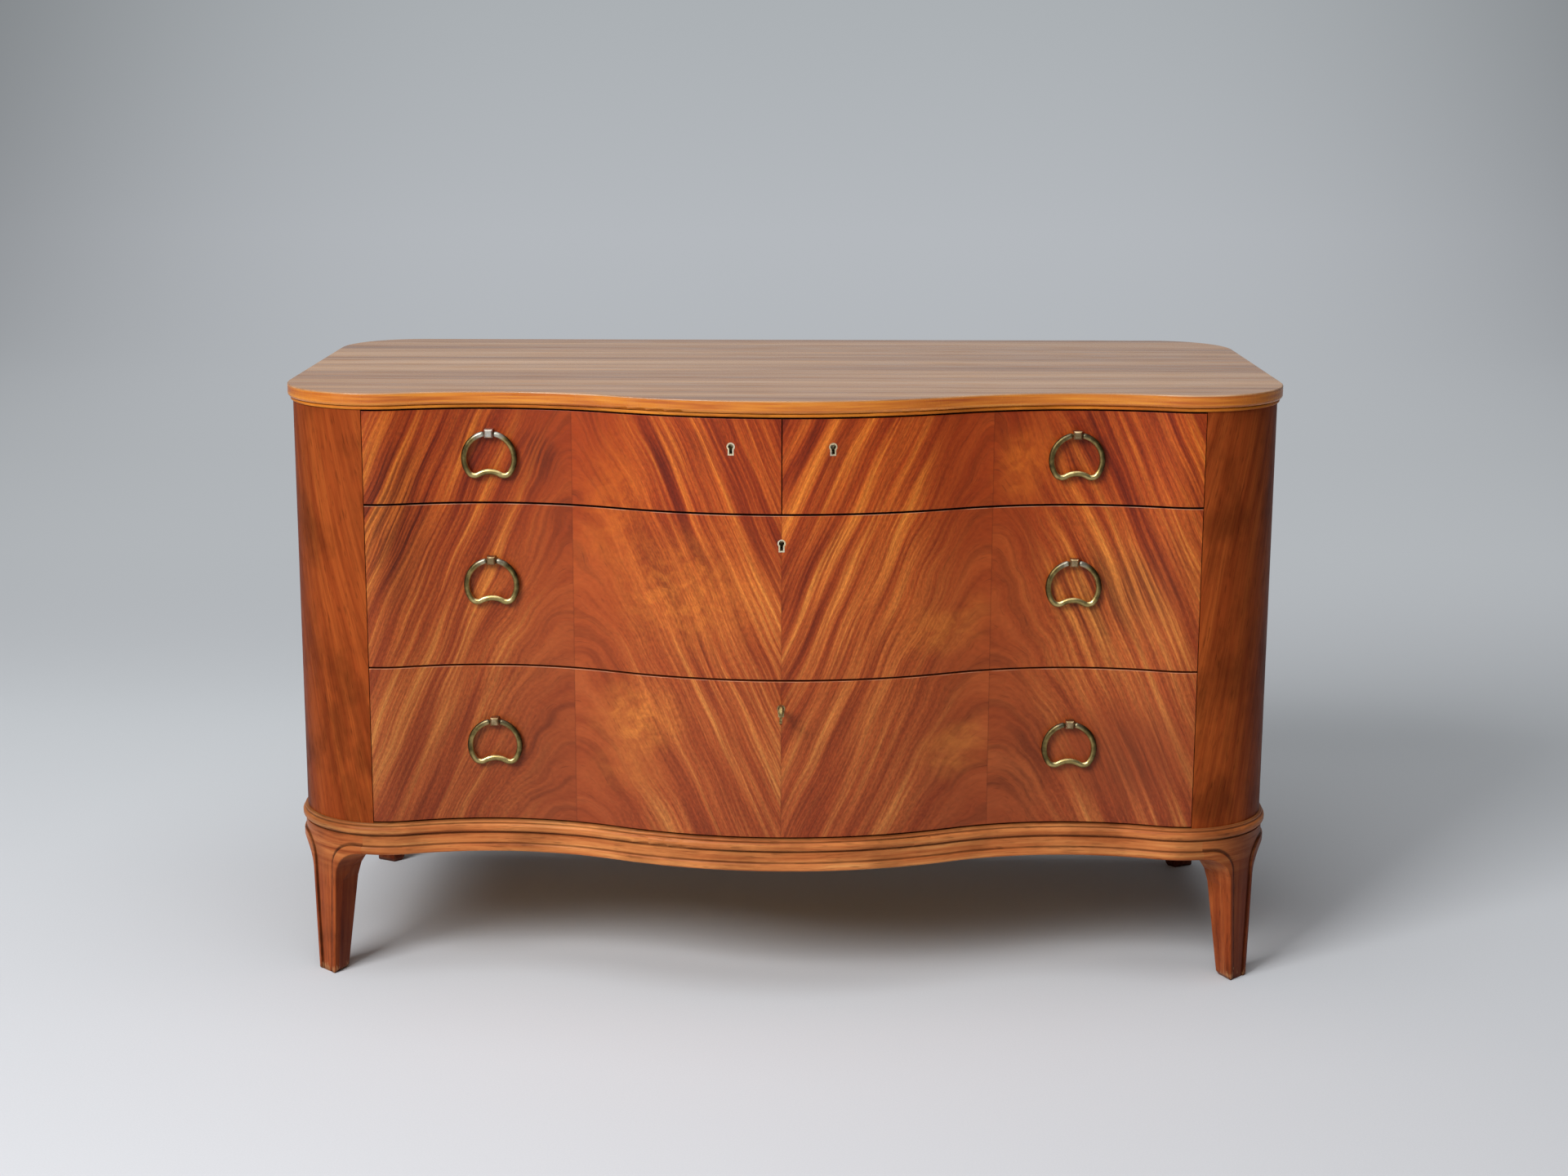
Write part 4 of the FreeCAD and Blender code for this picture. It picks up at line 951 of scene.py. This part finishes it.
@dataclass
class RingPull:
    """A waisted ring with the full wire of the real one, hung on two pins in its post, in millimetres."""

    name: str
    grey: float
    arch: float = 31.0
    lobe: float = 9.0
    bearing: float = 34.6
    dip: float = 26.3
    steps: tuple = (26, 16, 12)
    end: float = 6.2
    bottom: float = 2.75
    half_width: float = 3.6
    half_depth: float = 2.75
    ease: float = 0.7
    pin: float = 1.6
    pin_tip: float = 1.5
    pin_sides: int = 16
    sides: int = 20
    inner_wear_and_gleam: float = 0.38
    bar_wear: float = 0.26
    bar_top: float = -10.0
    bar_fade: float = 10.0
    grey_reach: float = 15.0

    def arcs(self) -> tuple[tuple[float, float, float, float, float], ...]:
        """Lay out the right half of the ring's middle line.

        Returns:
            Each arc's centre, radius, and first and last bearing.
        """
        turn = math.radians(self.bearing)
        out = (self.arch - self.lobe) * math.cos(turn)
        drop = (self.arch - self.lobe) * math.sin(turn)
        lean = math.asin(out / (self.lobe + self.dip))
        rise = (self.lobe + self.dip) * math.cos(lean)
        return ((0.0, 0.0, self.arch, math.acos(self.end / self.arch), -turn),
                (out, -drop, self.lobe, -turn, -math.pi / 2 - lean),
                (0.0, -drop - rise, self.dip, math.pi / 2 - lean, math.pi / 2))

    def middle_line(self) -> list[Vector]:
        """Draw the ring's middle line from its right end round to its left.

        Returns:
            Points in the ring's own plane, about the middle of its arch.
        """
        half = []
        for (x, z, radius, first, last), steps in zip(self.arcs(), self.steps):
            for step in range(steps):
                angle = first + (last - first) * step / steps
                half.append(Vector((x + radius * math.cos(angle), 0.0, z + radius * math.sin(angle))))
        x, z, radius, _, last = self.arcs()[-1]
        low = Vector((x + radius * math.cos(last), 0.0, z + radius * math.sin(last)))
        return half + [low] + [Vector((-p.x, 0.0, p.z)) for p in reversed(half)]

    def sweep(self, bm: bmesh.types.BMesh, centre: Vector) -> None:
        """Sweep the wire along the middle line and mark its wear and painted reflection.

        Args:
            bm: The mesh that takes the wire.
            centre: The middle of the arch, in metres.
        """
        line = self.middle_line()
        worn = bm.verts.layers.float.new("worn")
        greyed = bm.verts.layers.float.new("greyed")
        ways = [0.0]
        for first, second in zip(line, line[1:]):
            ways.append(ways[-1] + (second - first).length)
        rows = []
        for step, point in enumerate(line):
            along = (line[min(step + 1, len(line) - 1)] - line[max(step - 1, 0)]).normalized()
            outward = Vector((-along.z, 0.0, along.x))
            near = min(ways[step], ways[-1] - ways[step])
            shrink = 1.0 - self.ease / self.half_width if near == 0.0 else 1.0
            bar = min(max((self.bar_top - point.z) / self.bar_fade, 0.0), 1.0)
            row = []
            for side in range(self.sides):
                angle = 2 * math.pi * side / self.sides
                off = outward * (math.cos(angle) * self.half_width)
                off -= Vector((0.0, math.sin(angle) * self.half_depth, 0.0))
                vertex = bm.verts.new(centre + (point + off * shrink) * MM)
                # Wear and painted reflection: the wire paler inside and darker outside.
                vertex[worn] = self.inner_wear_and_gleam * (0.5 - 0.5 * math.cos(angle)) + self.bar_wear * bar
                vertex[greyed] = self.grey * max(1.0 - near / self.grey_reach, 0.0)
                row.append(vertex)
            rows.append(row)
        for row, after in zip(rows, rows[1:]):
            for side in range(self.sides):
                follow = (side + 1) % self.sides
                bm.faces.new((row[side], row[follow], after[follow], after[side])).smooth = True
        bm.faces.new(rows[0])
        bm.faces.new(rows[-1])

    def build(self, finish: Finish) -> None:
        """Sweep the ring, add its pins and hang it on its body.

        Args:
            finish: The ring's brass.
        """
        lowest = self.arcs()[1][1] - self.lobe
        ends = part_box(self.name + "_pull_ring")
        middle = (Vector(ends[0]) + Vector(ends[1])) / 2
        centre = Vector((middle.x, middle.y, ends[0][2] - (lowest - self.bottom) * MM))
        bm = bmesh.new()
        self.sweep(bm, centre)
        reach = self.end + self.half_depth / 2 - self.pin_tip
        for hand in (1.0, -1.0):
            spot = centre + Vector((hand * (self.pin_tip + reach / 2), 0.0, self.arch)) * MM
            place = Matrix.Translation(spot) @ Matrix.Rotation(math.pi / 2, 4, "Y")
            bmesh.ops.create_cone(bm, cap_ends=True, segments=self.pin_sides, radius1=self.pin * MM,
                                  radius2=self.pin * MM, depth=reach * MM, matrix=place)
        bmesh.ops.recalc_face_normals(bm, faces=bm.faces)
        mesh = bpy.data.meshes.new(self.name + "_ring_pull")
        bm.to_mesh(mesh)
        bm.free()
        mesh.materials.append(finish)
        ring = bpy.data.objects.new(self.name + "_ring_pull", mesh)
        bpy.context.scene.collection.objects.link(ring)
        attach(ring, self.name + "_ring")
        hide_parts(self.name + "_pull_ring")
        log.info("%s hung", ring.name)


@dataclass
class Screws:
    """Slotted screws in millimetres: one node tree sets a domed head on every point, turned by chance."""

    head: float = 3.4
    rise: float = 1.2
    slot: float = 0.9
    seed: int = 7
    segments: int = 20
    rings: int = 8

    def tree(self, finish: Finish) -> bpy.types.NodeTree:
        """Draw the tree that sets the heads.

        Args:
            finish: The screws' steel.

        Returns:
            The tree.
        """
        tree = bpy.data.node_groups.new("slotted_screw_heads", "GeometryNodeTree")
        tree.interface.new_socket("Points", in_out="INPUT", socket_type="NodeSocketGeometry")
        for name in ("Head Radius", "Head Rise", "Slot Width"):
            tree.interface.new_socket(name, in_out="INPUT", socket_type="NodeSocketFloat")
        tree.interface.new_socket("Seed", in_out="INPUT", socket_type="NodeSocketInt")
        tree.interface.new_socket("Heads", in_out="OUTPUT", socket_type="NodeSocketGeometry")
        points, radius, rise, width, seed = tree.nodes.new("NodeGroupInput").outputs[:5]
        n = Nodes(tree)
        ball = n.add("GeometryNodeMeshUVSphere",
                     {"Segments": self.segments, "Rings": self.rings, "Radius": radius})
        squeeze = n.join(1.0, 1.0, n.work("DIVIDE", rise, radius))
        dome = n.add("GeometryNodeTransform", {"Geometry": ball, "Scale": squeeze})
        bar = n.add("GeometryNodeMeshCube", {"Size": n.join(n.times(radius, 3.0), width, rise)})
        bar = n.add("GeometryNodeTransform", {"Geometry": bar, "Translation": n.join(0.0, 0.0, rise)})
        head = n.add("GeometryNodeMeshBoolean", {"Mesh 1": dome, "Mesh 2": bar}, operation="DIFFERENCE")
        aim = n.add("GeometryNodeInputNamedAttribute", {"Name": "aim"}, data_type="FLOAT_VECTOR")
        face = n.add("FunctionNodeAlignRotationToVector", {"Vector": aim}, axis="Z")
        roll = n.add("FunctionNodeRandomValue", {2: 0.0, 3: math.pi, "Seed": seed}, out=1, data_type="FLOAT")
        spin = n.add("FunctionNodeAxisAngleToRotation", {"Axis": (0.0, 0.0, 1.0), "Angle": roll})
        turned = n.add("FunctionNodeRotateRotation", {0: face, 1: spin}, rotation_space="LOCAL")
        heads = n.add("GeometryNodeInstanceOnPoints",
                      {"Points": points, "Instance": head, "Rotation": turned})
        heads = n.add("GeometryNodeRealizeInstances", {0: heads})
        heads = n.add("GeometryNodeSetMaterial", {"Geometry": heads, "Material": finish})
        tree.links.new(heads, tree.nodes.new("NodeGroupOutput").inputs[0])
        return tree

    def drive(self, tree: bpy.types.NodeTree, name: str, body: str, places: list[Vector],
              aim: Vector) -> None:
        """Drive one set of screws and turn it into a plain mesh.

        Args:
            tree: The tree that sets the heads.
            name: The set's name.
            body: The body it rides on.
            places: Where the heads sit, in metres.
            aim: The way the heads face.
        """
        mesh = bpy.data.meshes.new(name + "_places")
        mesh.from_pydata(places, [], [])
        aims = mesh.attributes.new("aim", "FLOAT_VECTOR", "POINT")
        for place in aims.data:
            place.vector = aim
        screws = bpy.data.objects.new(name, mesh)
        bpy.context.scene.collection.objects.link(screws)
        modifier = screws.modifiers.new("heads", "NODES")
        modifier.node_group = tree
        sizes = {"Head Radius": self.head * MM, "Head Rise": self.rise * MM, "Slot Width": self.slot * MM,
                 "Seed": self.seed}
        for socket in tree.interface.items_tree:
            if socket.name in sizes:
                modifier[socket.identifier] = sizes[socket.name]
        graph = bpy.context.evaluated_depsgraph_get()
        solid = bpy.data.meshes.new_from_object(screws.evaluated_get(graph), depsgraph=graph)
        screws.modifiers.remove(modifier)
        screws.data = solid
        solid.name = name
        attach(screws, body)
        log.info("%s driven, %d in all", name, len(places))


@dataclass
class Drawer:
    """One drawer with its lock, its bolt and its ring pulls."""

    name: str
    rings: tuple
    grey: tuple
    browned: bool = False
    screw_inset: float = 6.0

    def dress(self, palette: Palette) -> None:
        """Put the finishes on the drawer and hang its rings.

        Args:
            palette: The chest's finishes.
        """
        dress(palette.fronts, self.name + "_drawer_front")
        dress(palette.beech, self.name + "_drawer_sides")
        dress(palette.beech_back, self.name + "_drawer_back")
        dress(palette.ply, self.name + "_drawer_bottom")
        dress(palette.browned_lock if self.browned else palette.lock, self.name + "_lock")
        dress(palette.steel, self.name + "_lock_bolt")
        greyed = self.grey[0] == 1.0
        dress(palette.grey_lug if greyed else palette.lug, self.name + "_pull_posts")
        for ring, grey in zip(self.rings, self.grey):
            RingPull(ring, grey).build(palette.ring)

    def fasten(self, tree: bpy.types.NodeTree) -> None:
        """Screw the lock to the inside of the front.

        Args:
            tree: The tree that sets the screw heads.
        """
        low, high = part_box(self.name + "_lock")
        inset = self.screw_inset * MM
        places = [Vector((x, high[1], z)) for x in (low[0] + inset, high[0] - inset)
                  for z in (low[2] + inset, high[2] - inset)]
        Screws(head=2.6, rise=1.0, slot=0.8).drive(
            tree, self.name + "_lock_screws", self.name + "_drawer", places, Vector((0.0, 1.0, 0.0)))


@dataclass(frozen=True)
class Softbox:
    """A square soft lamp, in metres and watts."""

    name: str
    place: tuple
    target: tuple
    size: float
    power: float

    def hang(self) -> None:
        """Hang the lamp, facing its target."""
        data = bpy.data.lights.new(self.name, "AREA")
        data.shape = "SQUARE"
        data.size = self.size
        data.energy = self.power
        lamp = bpy.data.objects.new(self.name, data)
        lamp.location = self.place
        lamp.rotation_euler = (Vector(self.target) - Vector(self.place)).to_track_quat("-Z", "Y").to_euler()
        bpy.context.scene.collection.objects.link(lamp)


@dataclass
class Studio:
    """A pale paper sweep, soft lamps and the camera."""

    place: tuple = (0.0262, -3.5181, 1.2220)
    yaw: float = 1.4444
    pitch: float = -13.258
    roll: float = 0.0381
    lens: float = 62.754
    sensor: float = 36.0
    shift: tuple = (0.0308, 0.0346)
    reach: float = 16.0
    front: float = -14.0
    turn: float = 6.0
    radius: float = 3.0
    height: float = 12.0
    turn_steps: int = 24
    floor: Stops = ((0.0, "#C8CACE"), (0.3, "#CED1D5"), (0.6, "#D4D8DC"), (1.0, "#D4D8DC"))
    far: Stops = ((0.0, "#BEC1C6"), (0.15, "#B4B8BC"), (0.3, "#B2B6BA"), (0.7, "#B5B9BE"), (1.0, "#ABB0B4"))
    room: str = "#C3C7CB"
    room_strength: float = 0.14
    lamps: tuple = (Softbox("key_softbox", (-2.7, -3.6, 3.3), (0.0, -0.2, 0.4), 2.2, 265.0),
                    Softbox("fill_softbox", (-0.7, -4.0, 3.2), (0.0, -0.2, 0.4), 2.4, 42.0),
                    Softbox("overhead_softbox", (0.0, -0.6, 4.4), (0.2, 0.0, 0.4), 3.4, 84.0))

    def paper(self) -> Finish:
        """Make the matt paper sweep: painted light on the floor, a graded glow far behind the chest.

        Returns:
            The material.
        """
        s = Surface("matt_paper_sweep")
        x, y, z = s.part(s.place)
        # Painted light: the floor is tinted lighter towards the back, evening out the lamps' fall-off.
        floor = s.tones(s.span(y, (-900.0, 2600.0)), self.floor)
        tooth = s.drawn(s.place, (2.0, 2.0, 2.0))
        s.feed(s.shader, {"Base Color": s.shade(floor, tooth, (0.3, 0.7), (0.985, 1.015)),
                          "Roughness": 0.9, "Specular IOR Level": 0.1})
        # Far behind the chest the paper glows for camera and glossy rays, with painted fall-off of light:
        # darker up the sweep and towards the sides.
        path = s.work("MULTIPLY_ADD", z, 2.0, y)
        walk = s.add("ShaderNodeMapRange", {"Value": path, 1: 900.0, 2: 11000.0})
        metres = s.times(x, MM)
        tone = s.shade(s.tones(walk, self.far), s.times(metres, metres), (0.0, 16.0), (1.0, 0.5))
        glow = s.add("ShaderNodeEmission", {"Color": tone, "Strength": 1.0})
        seen = s.add("ShaderNodeLightPath", out="Is Camera Ray")
        gleam = s.add("ShaderNodeLightPath", out="Is Glossy Ray")
        share = s.times(s.work("MAXIMUM", seen, gleam), s.span(path, (900.0, 2600.0)))
        mixed = s.add("ShaderNodeMixShader", {0: share, 1: s.shader.outputs[0], 2: glow})
        s.tree.links.new(mixed, s.tree.nodes["Material Output"].inputs["Surface"])
        return s.material

    def lay_sweep(self) -> None:
        """Lay the paper sweep."""
        mesh = bpy.data.meshes.new("paper_sweep")
        bm = bmesh.new()
        line = [(self.front, 0.0)]
        for step in range(self.turn_steps + 1):
            angle = math.pi / 2 * step / self.turn_steps
            line.append((self.turn + self.radius * math.sin(angle), self.radius * (1 - math.cos(angle))))
        line.append((self.turn + self.radius, self.height))
        rows = [[bm.verts.new((x, y, z)) for x in (-self.reach, self.reach)] for y, z in line]
        for near, far in zip(rows, rows[1:]):
            bm.faces.new((near[0], near[1], far[1], far[0])).smooth = True
        bm.to_mesh(mesh)
        bm.free()
        mesh.materials.append(self.paper())
        sweep = bpy.data.objects.new("paper_sweep", mesh)
        bpy.context.scene.collection.objects.link(sweep)

    def light_room(self) -> None:
        """Hang the lamps and give the room its own soft light."""
        for lamp in self.lamps:
            lamp.hang()
        world = bpy.data.worlds.new("soft_room")
        world.use_nodes = True
        world.node_tree.nodes["Background"].inputs["Color"].default_value = linear(self.room)
        world.node_tree.nodes["Background"].inputs["Strength"].default_value = self.room_strength
        bpy.context.scene.world = world

    def stand_camera(self) -> None:
        """Stand the camera where the photograph was taken from."""
        data = bpy.data.cameras.new("camera")
        data.lens = self.lens
        data.sensor_width = self.sensor
        data.sensor_fit = "HORIZONTAL"
        data.shift_x, data.shift_y = self.shift
        camera = bpy.data.objects.new("camera", data)
        bpy.context.scene.collection.objects.link(camera)
        turn = Matrix.Identity(4)
        for angle, axis in ((self.yaw, "Z"), (self.pitch, "X"), (self.roll, "Y"), (90.0, "X")):
            turn = turn @ Matrix.Rotation(math.radians(angle), 4, axis)
        camera.matrix_world = Matrix.Translation(self.place) @ turn
        bpy.context.scene.camera = camera
        bpy.context.scene.view_settings.view_transform = "Standard"


def main() -> None:
    """Dress every sub-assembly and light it."""
    logging.basicConfig(level=logging.INFO, format="%(name)s: %(message)s")
    palette = Palette()
    heads = Screws().tree(palette.steel)
    carcase = Carcase()
    carcase.dress(palette)
    carcase.fasten(heads)
    Base().dress(palette)
    for drawer in (Drawer("upper_left", ("upper_left",), (1.0,)),
                   Drawer("upper_right", ("upper_right",), (0.1,)),
                   Drawer("middle", ("middle_left", "middle_right"), (0.4, 0.6)),
                   Drawer("lower", ("lower_left", "lower_right"), (0.1, 0.15), browned=True)):
        drawer.dress(palette)
        drawer.fasten(heads)
    dress(palette.key, "lower_drawer_key")
    studio = Studio()
    studio.lay_sweep()
    studio.light_room()
    studio.stand_camera()
    log.info("sizes written")


if __name__ == "__main__":
    main()
